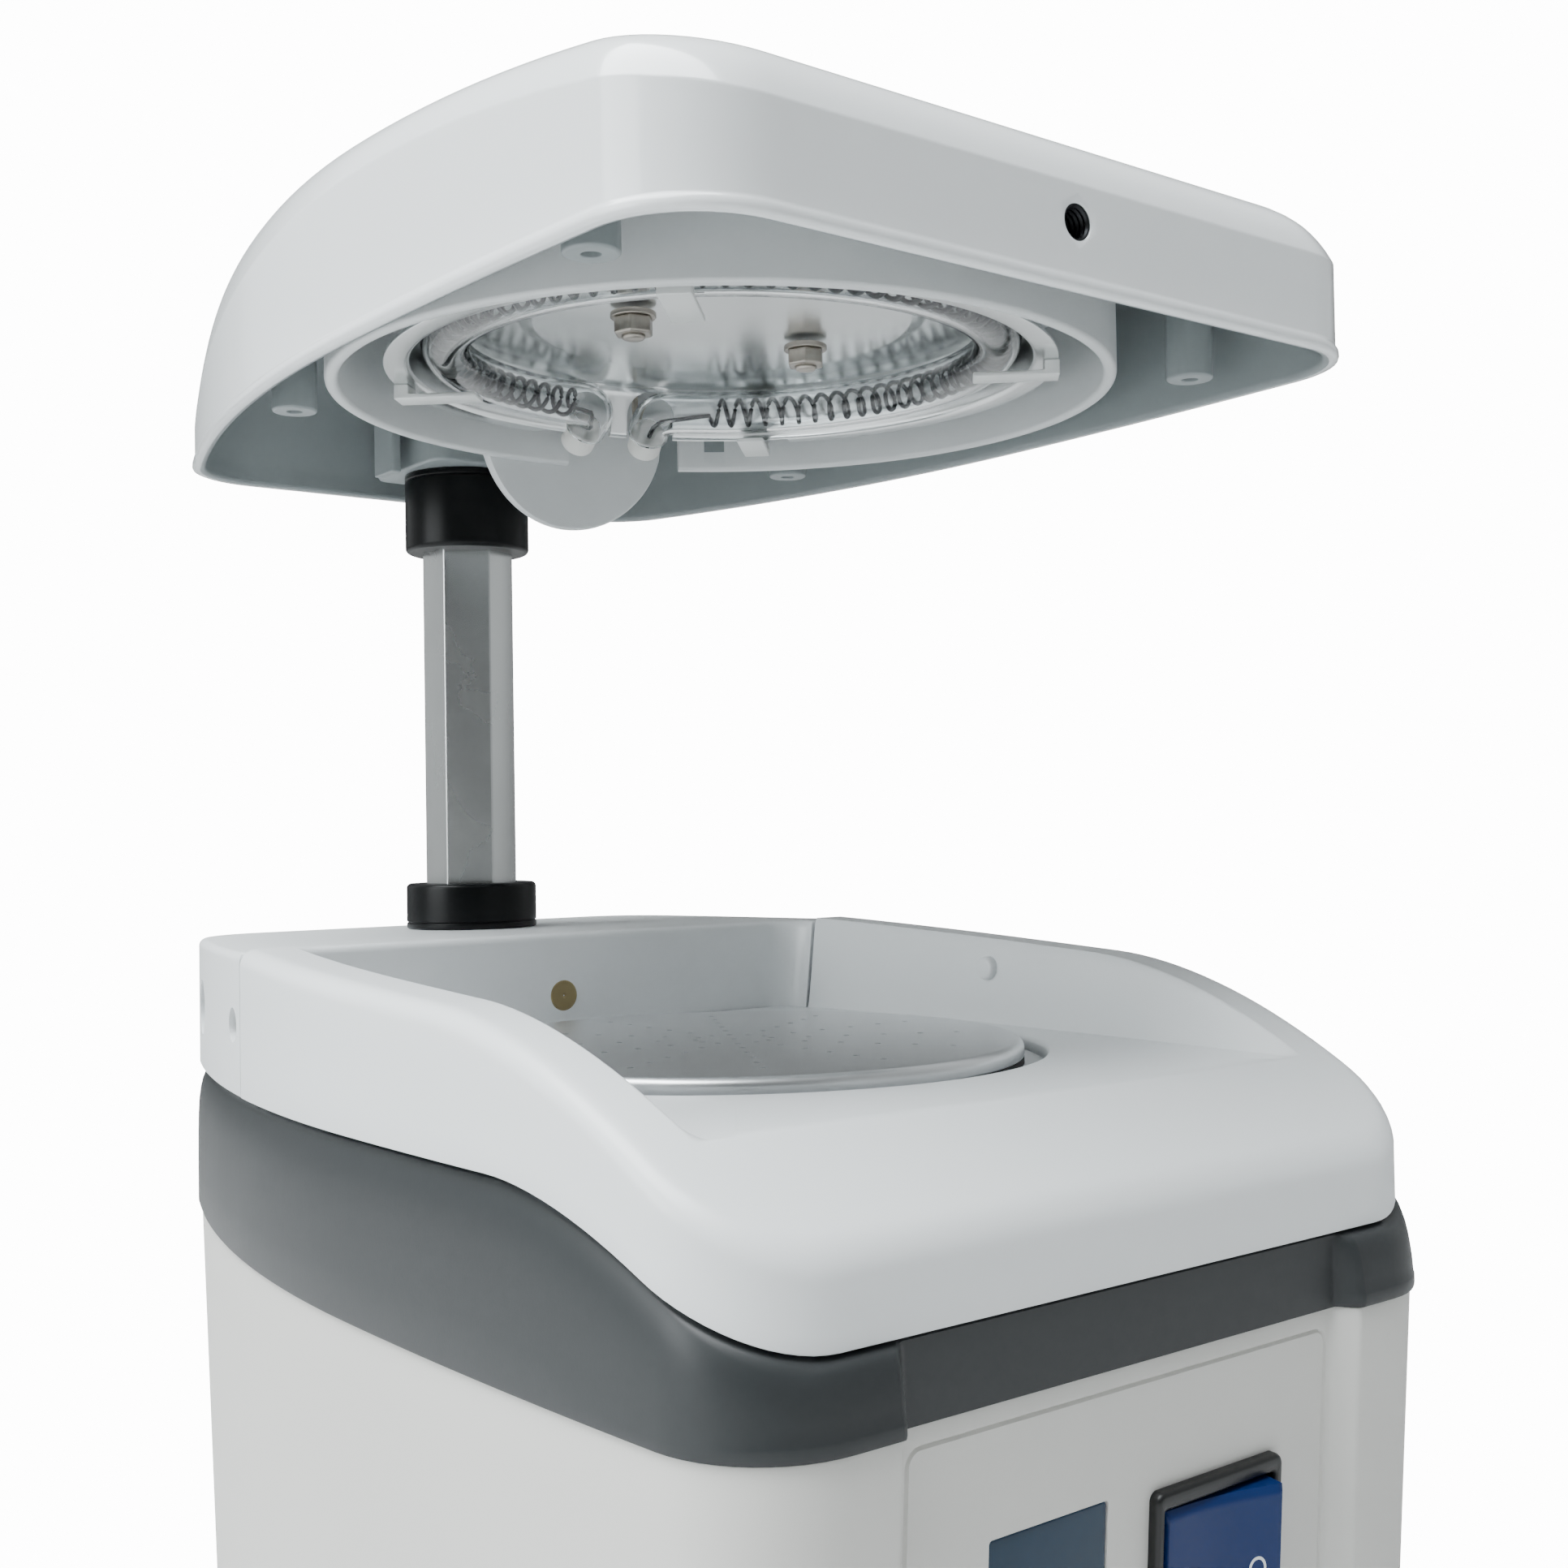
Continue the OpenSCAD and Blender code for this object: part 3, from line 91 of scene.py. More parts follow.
def side_seam(y):
    """Height of the seam above the belt: level, then dipping as a power curve to the front."""
    return 144.5 - 18.8 * np.clip((-60 - y) / 57.7, 0, 1) ** 1.8


def wing_top(y):
    """Height of the wing tops: a slow slope, then a falling power curve to the front edge."""
    return 175 - 0.057 * (63 - y) - 25.7 * np.clip((-42 - y) / 75.7, 0, 1) ** 1.9


def mirrored(right):
    """Closes the right half of an outline with its mirror image."""
    left = right[-2:0:-1].copy()
    left[:, 0] *= -1
    return np.concatenate([right, left])


def level(outline, z):
    """An outline of (x, y) rows set at a height, or at a height for each row."""
    return np.column_stack([outline, np.full(len(outline), z)])


def polar(r, a, z):
    """Points at radius r and angle a round the heater's upright axis."""
    return np.stack(np.broadcast_arrays(r * np.cos(a), r * np.sin(a) + AXIS_Y, z), -1)


def plan(inset, front, rear, front_x=None):
    """Closed outline, anticlockwise from the front middle: straight front, corner arc, bowed side,
    corner arc, straight rear, then the mirror image. inset moves every side inwards."""
    fy, ry = front + CORNER, rear - CORNER
    end = -math.atan((AXIS_Y - fy) / 1200)
    start = math.atan((ry - AXIS_Y) / REAR_BOW)
    fx = float(half_width(fy + CORNER * math.sin(end))) - CORNER * math.cos(end)
    rx = float(half_width(ry + CORNER * math.sin(start))) - CORNER * math.cos(start)
    r = max(CORNER - inset, 0.4)
    d = r - (CORNER - inset)
    fx, fy, rx, ry = fx - d, fy + d, rx - d, ry - d
    xs = np.linspace(0, fx, 15)[:-1] if front_x is None else np.array(front_x, float)
    a = np.linspace(-math.pi / 2, end, 13)[:-1]
    b = np.linspace(start, math.pi / 2, 13)[:-1]
    ys = np.linspace(fy + r * math.sin(end), ry + r * math.sin(start), 31)[:-1]
    x = np.concatenate([xs, fx + r * np.cos(a), half_width(ys) - inset, rx + r * np.cos(b),
                        np.linspace(rx, 0, 12)])
    y = np.concatenate([xs * 0 + fy - r, fy + r * np.sin(a), ys, ry + r * np.sin(b),
                        np.full(12, ry + r)])
    return mirrored(np.stack([x, y], 1))


def rounded(points, radii, steps=6):
    """A broken line with its corners turned into arcs: each arc is tangent to both legs."""
    points = [np.array(p, float) for p in points]
    out = [points[0]]
    for i in range(1, len(points) - 1):
        p, r = points[i], radii[i] if i < len(radii) else 0
        u, v = points[i - 1] - p, points[i + 1] - p
        lu, lv = np.linalg.norm(u), np.linalg.norm(v)
        if r <= 0 or lu < 1e-6 or lv < 1e-6:
            out.append(p)
            continue
        u, v = u / lu, v / lv
        half = math.acos(max(-1, min(1, float(u @ v)))) / 2
        if not 0.01 <= half <= 1.56:
            out.append(p)
            continue
        leg = min(r / math.tan(half), 0.49 * lu, 0.49 * lv)
        r = leg * math.tan(half)
        mid = (u + v) / np.linalg.norm(u + v)
        centre = p + mid * r / math.sin(half)
        a, b = p + u * leg - centre, p + v * leg - centre
        turn = math.pi - 2 * half
        for k in range(steps + 1):
            t = k / steps
            arc = math.sin((1 - t) * turn) * a + math.sin(t * turn) * b
            out.append(centre + arc / math.sin(turn))
    out.append(points[-1])
    return np.array(out)


class Shape:
    """Gathers grids of points, in millimetres, into one mesh."""

    def __init__(self):
        self.points, self.faces, self.count = [], [], 0

    def grid(self, p, wrap=True, flip=False):
        """Faces between neighbours of a (rows, columns, 3) array; wrap closes each row."""
        rows, cols = p.shape[:2]
        k = np.arange(rows * cols).reshape(rows, cols) + self.count
        if wrap:
            k = np.concatenate([k, k[:, :1]], 1)
        q = np.stack([k[:-1, :-1], k[:-1, 1:], k[1:, 1:], k[1:, :-1]], -1).reshape(-1, 4)
        self.faces.extend((q[:, ::-1] if flip else q).tolist())
        self.points.append(p.reshape(-1, 3))
        self.count += rows * cols
        return self

    def fan(self, ring, flip=False):
        """One flat face over a closed ring."""
        k = list(range(self.count, self.count + len(ring)))
        self.faces.append(k[::-1] if flip else k)
        self.points.append(np.array(ring, float))
        self.count += len(ring)
        return self

    def lathe(self, profile, at=(0, 0, 0), turn=None, n=96, flip=False):
        """Profile of (radius, height) pairs spun about the upright axis, then turned and moved."""
        profile = np.asarray(profile, float)
        a = np.linspace(0, 2 * math.pi, n, endpoint=False)
        p = np.stack([profile[:, :1] * np.cos(a), profile[:, :1] * np.sin(a),
                      np.repeat(profile[:, 1:], n, 1)], -1)
        if turn is not None:
            p = p @ np.array(turn).T
        return self.grid(p + np.array(at, float), flip=flip)

    def sweep(self, path, radius, sides=16, ends=True):
        """Round tube along a path; each ring stands square to the path, with no twist."""
        path = np.asarray(path, float)
        t = np.gradient(path, axis=0)
        t /= np.linalg.norm(t, axis=1, keepdims=True)
        up = np.where(np.abs(t[:, 2:]) > 0.95, [[1.0, 0, 0]], [[0, 0, 1.0]])
        u = np.cross(up, t)
        u /= np.linalg.norm(u, axis=1, keepdims=True)
        v = np.cross(t, u)
        a = np.linspace(0, 2 * math.pi, sides, endpoint=False)[None, :, None]
        r = np.broadcast_to(np.asarray(radius, float), (len(path),))[:, None, None]
        p = path[:, None] + r * (np.cos(a) * u[:, None] + np.sin(a) * v[:, None])
        return self.stack(p) if ends else self.grid(p)

    def slab(self, outline, low, high, r=0.6, steps=4, lower_r=None):
        """Upright block on a closed outline with rounded top and bottom edges."""
        out = np.asarray(outline, float)
        d = np.roll(out, -1, 0) - np.roll(out, 1, 0)
        n = np.stack([d[:, 1], -d[:, 0]], 1)
        n /= np.maximum(np.linalg.norm(n, axis=1, keepdims=True), 1e-9)
        lr = r if lower_r is None else lower_r
        a = np.linspace(0, math.pi / 2, steps + 1)
        ins = np.concatenate([lr * (1 - np.sin(a)), r * (1 - np.cos(a))])
        z = np.concatenate([low + lr * (1 - np.cos(a)), high - r * (1 - np.sin(a))])
        return self.stack([level(out - n * e, h) for e, h in zip(ins, z)])

    def stack(self, rings):
        """Rings joined one after the other, closed by a face at each end."""
        p = np.stack(rings)
        return self.grid(p).fan(p[0], flip=True).fan(p[-1])

    def mesh(self, name, outward=True, crease=35):
        """Blender object: doubles merged, faces smooth, edges sharper than crease kept sharp."""
        data = bpy.data.meshes.new(name)
        data.from_pydata((np.concatenate(self.points) * MM).tolist(), [], self.faces)
        bm = bmesh.new()
        bm.from_mesh(data)
        bmesh.ops.remove_doubles(bm, verts=bm.verts, dist=MERGE)
        bmesh.ops.dissolve_degenerate(bm, edges=bm.edges, dist=MERGE / 2)
        if outward:
            bmesh.ops.recalc_face_normals(bm, faces=bm.faces)
        bm.to_mesh(data)
        bm.free()
        return crisp(linked(name, data), crease)


def linked(name, data):
    """A new object of the scene."""
    obj = bpy.data.objects.new(name, data)
    bpy.context.scene.collection.objects.link(obj)
    return obj


def crisp(obj, crease):
    """Smooth shading with sharp edges above the crease angle."""
    obj.data.polygons.foreach_set("use_smooth", np.ones(len(obj.data.polygons), bool))
    obj.data.set_sharp_from_angle(angle=math.radians(crease))
    return obj


def applied(obj):
    """The object's mesh with its modifiers worked in."""
    bpy.context.view_layer.update()
    shown = obj.evaluated_get(bpy.context.evaluated_depsgraph_get())
    data = bpy.data.meshes.new_from_object(shown)
    obj.modifiers.clear()
    obj.data = data


def cut(obj, cutter, crease=38):
    """Takes the closed cutter out of the closed piece."""
    m = obj.modifiers.new("cut", "BOOLEAN")
    m.operation, m.solver, m.object = "DIFFERENCE", "EXACT", cutter
    applied(obj)
    bpy.data.objects.remove(cutter)
    return crisp(obj, crease)


def softened(name, width):
    """A merged copy of a CAD solid with its sharp edges rounded."""
    data = frame["nodes"][name].data.copy()
    bm = bmesh.new()
    bm.from_mesh(data)
    bmesh.ops.remove_doubles(bm, verts=bm.verts, dist=1e-6)
    bmesh.ops.dissolve_limit(bm, angle_limit=math.radians(1), verts=bm.verts, edges=bm.edges)
    bm.to_mesh(data)
    bm.free()
    obj = linked(name + "_soft", data)
    b = obj.modifiers.new("edge", "BEVEL")
    b.width, b.segments, b.limit_method = width * MM, 2, "ANGLE"
    b.angle_limit, b.use_clamp_overlap = math.radians(30), True
    applied(obj)
    return crisp(obj, 40)


def tilt(points, x, z, lean, face):
    """From a front or rear panel's own frame (across, out of the face, up) to the model's."""
    c, s = math.cos(lean), math.sin(lean)
    p = np.asarray(points, float)
    way = -1 if face == "front" else 1
    y = (PANEL_FRONT if face == "front" else REAR - 0.8) - way * (BODY_TOP - z) * math.tan(lean)
    return np.stack([x + p[..., 0], y + way * (p[..., 1] * c + p[..., 2] * s),
                     z - p[..., 1] * s + p[..., 2] * c], -1)


def front_panel(points, x, z):
    """From the front panel's own frame, at (x, z), to the model's."""
    return tilt(points, x, z, PANEL_LEAN, "front")


def upright(outline, depth):
    """An outline of (across, up) rows set at a distance out of its panel."""
    return np.column_stack([outline[:, 0], np.full(len(outline), depth), outline[:, 1]])


def rounded_box(w, h, r, n=6):
    """Outline of a rectangle with round corners, anticlockwise."""
    a = np.linspace(0, math.pi / 2, n + 1)
    q = np.stack([np.cos(a), np.sin(a)], 1) * r
    parts = []
    for k, (sx, sy) in enumerate([(1, 1), (-1, 1), (-1, -1), (1, -1)]):
        c, s = math.cos(k * math.pi / 2), math.sin(k * math.pi / 2)
        parts.append(q @ np.array([[c, s], [-s, c]]) + [sx * (w / 2 - r), sy * (h / 2 - r)])
    return np.concatenate(parts)


# Finishes

FLOAT, COLOUR, VECTOR = "NodeSocketFloat", "NodeSocketColor", "NodeSocketVector"


def socket_group(name, inputs, outputs):
    """A node group with its sockets and its input and output nodes."""
    g = bpy.data.node_groups.new(name, "ShaderNodeTree")
    for label, kind, *value in inputs:
        s = g.interface.new_socket(name=label, in_out="INPUT", socket_type=kind)
        if value:
            s.default_value = value[0]
    for label, kind in outputs:
        g.interface.new_socket(name=label, in_out="OUTPUT", socket_type=kind)
    return g, g.nodes.new("NodeGroupInput"), g.nodes.new("NodeGroupOutput")


def node(tree, kind, values=None, **settings):
    """A new shader node, its input values by name or number, and its settings."""
    n = tree.nodes.new("ShaderNode" + kind)
    for key, value in settings.items():
        setattr(n, key, value)
    for key, value in (values or {}).items():
        n.inputs[key].default_value = value
    return n


def wire(tree, *links):
    """Links given as (node, output, node, input)."""
    for a, out, b, inp in links:
        tree.links.new(a.outputs[out], b.inputs[inp])


def make_tone_group():
    """Slow cloudy change of a colour, darker and lighter by the amount."""
    g, i, o = socket_group("tone drift", [("Place", VECTOR), ("Colour", COLOUR),
                                          ("Scale", FLOAT, 12), ("Amount", FLOAT, 0.04)],
                           [("Colour", COLOUR), ("Mask", FLOAT)])
    noise = node(g, "TexNoise", {"Detail": 4})
    span = node(g, "MapRange", {"From Min": 0.3, "From Max": 0.7})
    amount = node(g, "Math", operation="MULTIPLY")
    value = node(g, "Math", operation="SUBTRACT", values={0: 1})
    hue = node(g, "HueSaturation")
    wire(g, (i, "Place", noise, "Vector"), (i, "Scale", noise, "Scale"),
         (noise, "Fac", span, "Value"), (span, "Result", amount, 0), (i, "Amount", amount, 1),
         (amount, 0, value, 1), (value, 0, hue, "Value"), (i, "Colour", hue, "Color"),
         (hue, "Color", o, "Colour"), (span, "Result", o, "Mask"))
    return g


def make_grain_group():
    """Fine moulded or cast grain: two sizes of noise added into one height."""
    g, i, o = socket_group("fine grain", [("Place", VECTOR), ("Scale", FLOAT, 900)],
                           [("Height", FLOAT)])
    fine, coarse = node(g, "TexNoise", {"Detail": 3}), node(g, "TexNoise", {"Detail": 2})
    third = node(g, "Math", operation="DIVIDE", values={1: 6})
    add = node(g, "Math", operation="MULTIPLY_ADD", values={1: 0.6})
    wire(g, (i, "Place", fine, "Vector"), (i, "Place", coarse, "Vector"),
         (i, "Scale", fine, "Scale"), (i, "Scale", third, 0), (third, 0, coarse, "Scale"),
         (fine, "Fac", add, 0), (coarse, "Fac", add, 2), (add, 0, o, "Height"))
    return g


def make_smudge_group():
    """Roughness that wanders where hands and cloths have been."""
    g, i, o = socket_group("handling marks", [("Place", VECTOR), ("Roughness", FLOAT, 0.3),
                                              ("Spread", FLOAT, 0.06), ("Scale", FLOAT, 18)],
                           [("Roughness", FLOAT)])
    noise = node(g, "TexNoise", {"Detail": 6, "Distortion": 0.6})
    centre = node(g, "Math", operation="SUBTRACT", values={1: 0.5})
    add = node(g, "Math", operation="MULTIPLY_ADD")
    wire(g, (i, "Place", noise, "Vector"), (i, "Scale", noise, "Scale"),
         (noise, "Fac", centre, 0), (centre, 0, add, 0), (i, "Spread", add, 1),
         (i, "Roughness", add, 2), (add, 0, o, "Roughness"))
    return g


TONE, GRAIN, SMUDGE = make_tone_group(), make_grain_group(), make_smudge_group()


def finish(name, colour, rough, metal=0.0, relief=0.02, grain=900, drift=0.04, spread=0.06,
           drift_scale=14, smudge_scale=18, coat=0.0, clear=0.0, ior=1.5, specular=0.5,
           brushed=None):
    """A Principled finish with drifting tone, handling marks and grain. brushed stretches the
    grain: "rings" round the heater's axis, or a scale for each direction."""
    m = bpy.data.materials.new(name)
    m.use_nodes = True
    m.diffuse_color = (*colour, 1)
    t = m.node_tree
    t.nodes.clear()
    out = node(t, "OutputMaterial")
    p = node(t, "BsdfPrincipled", {
        "Metallic": metal, "IOR": ior, "Specular IOR Level": specular, "Coat Weight": coat,
        "Coat Roughness": 0.05, "Transmission Weight": clear})
    place = node(t, "TexCoord")
    tone = node(t, "Group", {"Colour": (*colour, 1), "Scale": drift_scale, "Amount": drift},
                node_tree=TONE)
    smudge = node(t, "Group", {"Roughness": rough, "Spread": spread, "Scale": smudge_scale},
                  node_tree=SMUDGE)
    fine = node(t, "Group", {"Scale": grain}, node_tree=GRAIN)
    bump = node(t, "Bump", {"Strength": 1, "Distance": relief * MM})
    source, end = place, "Object"
    if brushed is not None:
        mapping = node(t, "Mapping")
        wire(t, (place, "Object", mapping, "Vector"))
        source, end = mapping, "Vector"
    if brushed == "rings":
        mapping.inputs["Location"].default_value = (0, -MM * AXIS_Y, 0)
        flat = node(t, "VectorMath", {1: (1, 1, 0)}, operation="MULTIPLY")
        reach, source = node(t, "VectorMath", operation="LENGTH"), node(t, "CombineXYZ")
        wire(t, (mapping, "Vector", flat, 0), (flat, "Vector", reach, 0),
             (reach, "Value", source, "X"))
    elif brushed is not None:
        mapping.inputs["Scale"].default_value = brushed
    wire(t, (p, "BSDF", out, "Surface"), (place, "Object", tone, "Place"),
         (tone, "Colour", p, "Base Color"), (place, "Object", smudge, "Place"),
         (smudge, "Roughness", p, "Roughness"), (source, end, fine, "Place"),
         (fine, "Height", bump, "Height"), (bump, "Normal", p, "Normal"))
    return m


# Name, colour, roughness, metal, relief, grain, drift, spread, then anything else by name
FINISHES = {slot: finish(*row[:-1], **row[-1]) if isinstance(row[-1], dict) else finish(*row)
            for slot, row in {
    "head_white": ("gloss white head", (0.8, 0.825, 0.835), 0.16, 0, 0.004, 260, 0.015,
                   {"coat": 0.25}),
    # The inner-moulding finish below is painted shade: a darker grey standing in for the shadow
    # under the dome, not a colour of its own.
    "head_inside_shade": ("inner moulding with painted shade", (0.245, 0.275, 0.283), 0.42, 0, 0.01, 1500),
    "cover_white": ("satin white cover", (0.79, 0.815, 0.825), 0.3, 0, 0.006, 1400, 0.02),
    "body_white": ("warm matt body", (0.66, 0.655, 0.625), 0.5, 0, 0.02, 1800, 0.03),
    "belt_grey": ("slate belt", (0.024, 0.027, 0.029), 0.4, 0, 0.012, 1800, 0.1,
                  {"specular": 0.4}),
    "grey_metal": ("coated sheet", (0.33, 0.35, 0.36), 0.42, 0.3, 0.01),
    "black_rubber": ("foot rubber", (0.022, 0.022, 0.023), 0.72, 0, 0.05, 700, 0.2),
    "screw_steel": ("plated screws", (0.6, 0.6, 0.59), 0.27, 1, 0.004, 1500, 0.1, 0.15),
    "plate_aluminium": ("turned plate", (0.76, 0.775, 0.785), 0.34, 1, 0.006, 2600, 0.08, 0.12,
                        {"brushed": "rings"}),
    "cast_aluminium": ("cast light metal", (0.52, 0.53, 0.54), 0.45, 1, 0.03),
    "dark_plastic": ("dark mouldings", (0.045, 0.05, 0.055), 0.48, 0, 0.02, 1500, 0.12),
    "motor_iron": ("varnished windings", (0.16, 0.07, 0.03), 0.4, 0.6, 0.05, 500, 0.3),
    "collar_black": ("black collar", (0.003, 0.0035, 0.004), 0.3, 0, 0.006, 1600, 0.15, 0.1,
                     {"specular": 0.2}),
    "pale_plastic": ("bearing plastic", (0.62, 0.6, 0.53), 0.4, 0, 0.01),
    "brass": ("turned brass", (0.32, 0.26, 0.14), 0.36, 1, 0.01, 1400, 0.2, 0.12),
    "display_blue": ("display window", (0.018, 0.042, 0.075), 0.1, 0, 0.001, 900, 0.15,
                     {"specular": 0.25, "drift_scale": 60}),
    "board_green": ("board", (0.015, 0.09, 0.04), 0.35, 0, 0.02, 700, 0.3),
    "switch_black": ("switch moulding", (0.004, 0.0045, 0.005), 0.38, 0, 0.01, 1900, 0.15),
    "rocker_blue": ("blue rocker", (0.006, 0.024, 0.115), 0.22, 0, 0.002, 900, 0.1,
                    {"specular": 0.25, "drift_scale": 60}),
    "key_grey": ("soft key", (0.36, 0.38, 0.39), 0.5, 0, 0.012, 1800, 0.06),
    "shroud_metal": ("coated shroud", (0.64, 0.665, 0.67), 0.36, 0.1, 0.008, 1200, 0.08, 0.1),
    "reflector_metal": ("polished dish", (0.78, 0.8, 0.8), 0.22, 1, 0.006, 900, 0.1, 0.2,
                        {"brushed": "rings", "drift_scale": 30, "smudge_scale": 40}),
    "ceramic_white": ("white ceramic", (0.72, 0.72, 0.69), 0.55, 0, 0.02, 1100, 0.1,
                      {"drift_scale": 40}),
    "nut_steel": ("heat stained nuts", (0.4, 0.37, 0.33), 0.32, 1, 0.02, 900, 0.45, 0.2,
                  {"drift_scale": 160}),
    "coil_wire": ("oxidised wire", (0.03, 0.031, 0.034), 0.5, 0.6, 0.02, 1500, 0.3,
                  {"drift_scale": 120}),
    "clip_steel": ("pale spring clip", (0.66, 0.68, 0.67), 0.4, 0.2, 0.006),
    "lead_sleeve": ("sleeved lead", (0.45, 0.42, 0.36), 0.7, 0, 0.05, 1200),
    "insert_dark": ("blackened thread", (0.03, 0.032, 0.035), 0.36, 0.7, 0.02, 900, 0.3,
                    {"drift_scale": 200}),
    "column_steel": ("bright column", (0.66, 0.675, 0.67), 0.27, 1, 0.003, 1600, 0.1, 0.1,
                     {"brushed": (1, 1, 0.02), "drift_scale": 24, "smudge_scale": 30}),
}.items()}


def make_quartz():
    """Clear tube: plain glass shader, faint waviness only."""
    colour = (0.97, 0.985, 0.99)
    m = finish("clear quartz", colour, 0.02, 0, 0.002, 160, 0.01, 0.02, clear=1.0, ior=1.46)
    p = m.node_tree.nodes["Principled BSDF"]
    for name, value in (("Roughness", 0.015), ("Base Color", (*colour, 1))):
        m.node_tree.links.remove(p.inputs[name].links[0])
        p.inputs[name].default_value = value
    return m


FINISHES["quartz_glass"] = make_quartz()
SLOTS = {s["node"]: s["material_slot"] for s in frame["record"]["subparts"]}


def wear(obj, slot, body, *nodes, look=None):
    """Gives a new piece its finish, its body and the nodes it stands for."""
    obj.data.materials.clear()
    obj.data.materials.append(FINISHES[look or slot])
    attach(obj, body)
    if nodes:
        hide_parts(*nodes)
    return obj


# Head

def wall_height(y):
    """Height of the head's wall up to its crease: a parabola, highest beside the heater."""
    return 28.3 - (y + 15) ** 2 / 833


def dome_rows(inset, steps):
    """Rings of the head: scaled copies of the plan. With scale s the height is
    W + (H - W) (1 - s^24), where W is the wall height and H falls off to the front, and inside
    s = 0.92 the crown C rises above it by a soft step."""
    ring = plan(inset, HEAD_FRONT, REAR)
    mid = (HEAD_FRONT + REAR) / 2
    out = []
    for s in steps:
        y = mid + (ring[:, 1] - mid) * s
        high = 40.5 - 12.5 * np.clip((31 - y) / 140.4, 0, None) ** 2.2
        crown = np.maximum(48 - 23 * np.clip((68 - y) / 177.4, 0, None) ** 2.5 - high, 0)
        low = wall_height(y)
        z = RIM - inset + low + (high - low) * (1 - s ** 24) + crown * smooth((0.92 - s) / 0.3)
        out.append(np.column_stack([ring[:, 0] * s, y, z]))
    return out


DOME_STEPS = [1, 0.9985, 0.996, 0.992, 0.987, 0.981, 0.974, 0.966, 0.957, 0.946, 0.932, 0.915, 0.89,
              0.86, 0.83, 0.79, 0.75, 0.7, 0.65, 0.58, 0.46, 0.33, 0.2, 0.08, 0]


def head_cover():
    """Domed shell: wall with a bead along the rim, a soft crease, the round-over, and an inner
    skin that meets the rounded lip."""
    shell = Shape()
    lip = [level(plan(e, HEAD_FRONT, REAR), RIM + z) for e, z in (
        (3.0, 1.2), (2.9, 0.5), (2.4, 0.1), (1.8, 0), (0.7, 0), (0.2, 0.2), (0.0, 0.7),
        (0.05, 1.5), (0.3, 2.0), (0.55, 2.3), (0.6, 2.7))]
    dome = dome_rows(0.6, DOME_STEPS)
    wall = [lip[-1] + (dome[0] - lip[-1]) * f for f in (0.25, 0.5, 0.75, 0.92, 0.98)]
    shell.grid(np.stack(lip + wall + dome))
    shell.grid(np.stack(dome_rows(3.0, DOME_STEPS)[::-1] + [lip[0]]))
    cover = shell.mesh("head_cover", outward=False, crease=50)
    bore = Shape().lathe([(0, -6), (3.35, -6), (3.35, -0.35), (3.0, 0), (3.0, 9), (0, 9)],
                         at=(0, HEAD_FRONT + 0.9, HANDLE_Z), turn=INWARD, n=48)
    return cut(cover, bore.mesh("bore"), 50)


def shade_inside(obj, look):
    """Paints shade on the faces that look towards the middle of the head: they get a second, darker
    finish that stands in for the shadow inside the dome.
    """
    n = len(obj.data.polygons)
    centre, normal = np.empty(n * 3), np.empty(n * 3)
    obj.data.polygons.foreach_get("center", centre)
    obj.data.polygons.foreach_get("normal", normal)
    reach = centre.reshape(-1, 3) - np.array([0, 5.8, RIM]) * MM
    inward = np.einsum("ij,ij->i", reach, normal.reshape(-1, 3)) < -0.5 * MM
    obj.data.materials.append(FINISHES[look])
    obj.data.polygons.foreach_set("material_index", inward.astype(np.int32))


def head_fittings():
    """Bosses, ribs and the column socket under the dome."""
    parts = Shape()
    for s in (-1, 1):
        for x, y in ((69.5, -73.5), (64.5, 49.5)):
            parts.lathe(rounded([(0, 296), (1.6, 296), (1.6, 283.5), (4.6, 283.5), (4.6, 303),
                                 (0, 303)], [0, 0, 0.25, 0.6, 0, 0]), at=(s * x, y, 0), n=40)
        rib = rounded_box(2.4, 10, 0.6)
        parts.slab(rib + [s * 21.2, COLUMN_Y], RIM + 1.5, 314, 0.4)
    for a in (45, 135, 225, 315):
        parts.lathe([(0, PAN_TOP), (5, PAN_TOP), (5, 316), (0, 316)],
                    at=polar(52, math.radians(a), 0), n=32)
    parts.slab(rounded_box(34, 34, 4) + [0, COLUMN_Y], 284.2, 311, 0.8)
    parts.lathe(rounded([(4.1, 0), (6.5, 0), (6.5, 10.5), (4.1, 10.5)], []),
                at=(0, HEAD_FRONT + 2.4, HANDLE_Z), turn=INWARD, n=40)
    return parts.mesh("head_fittings")


def thread_insert():
    """Threaded sleeve behind the handle hole: ridged bore, one ridge a millimetre."""
    z = np.linspace(-2.6, 9, 187)
    ridge = 2.8 - 0.3 * np.abs((z % 1) * 2 - 1)
    profile = np.concatenate([[(4.05, 0), (2.98, 0), (2.98, -2.6)], np.column_stack([ridge, z]),
                              [(4.05, 9), (4.05, 0)]])
    place = dict(at=(0, HEAD_FRONT + 3.6, HANDLE_Z), turn=INWARD, n=48)
    s = Shape().lathe(profile, **place)
    s.lathe([(0, 8.6), (2.6, 8.6)], **place)
    return s.mesh("thread_insert", outward=False, crease=70)


# Heater

def spout(turn):
    """Unit direction of a tube end, turned from the rear towards +X."""
    a = math.radians(90 - GAP_TURN + turn)
    return np.array([math.cos(a), math.sin(a), 0.0])


def ring_wall(r_in, r_out, low, high, a0, a1, n, edge=0.8):
    """Part of an upright ring wall between two angles: a rounded section carried round."""
    sec = rounded([(r_in, (low + high) / 2), (r_in, low), (r_out, low), (r_out, high),
                   (r_in, high), (r_in, (low + high) / 2)], [0, edge, edge, 0, 0, 0], 4)[:-1]
    a = np.linspace(a0, a1, n)
    return polar(sec[None, :, 0], a[:, None], sec[None, :, 1])


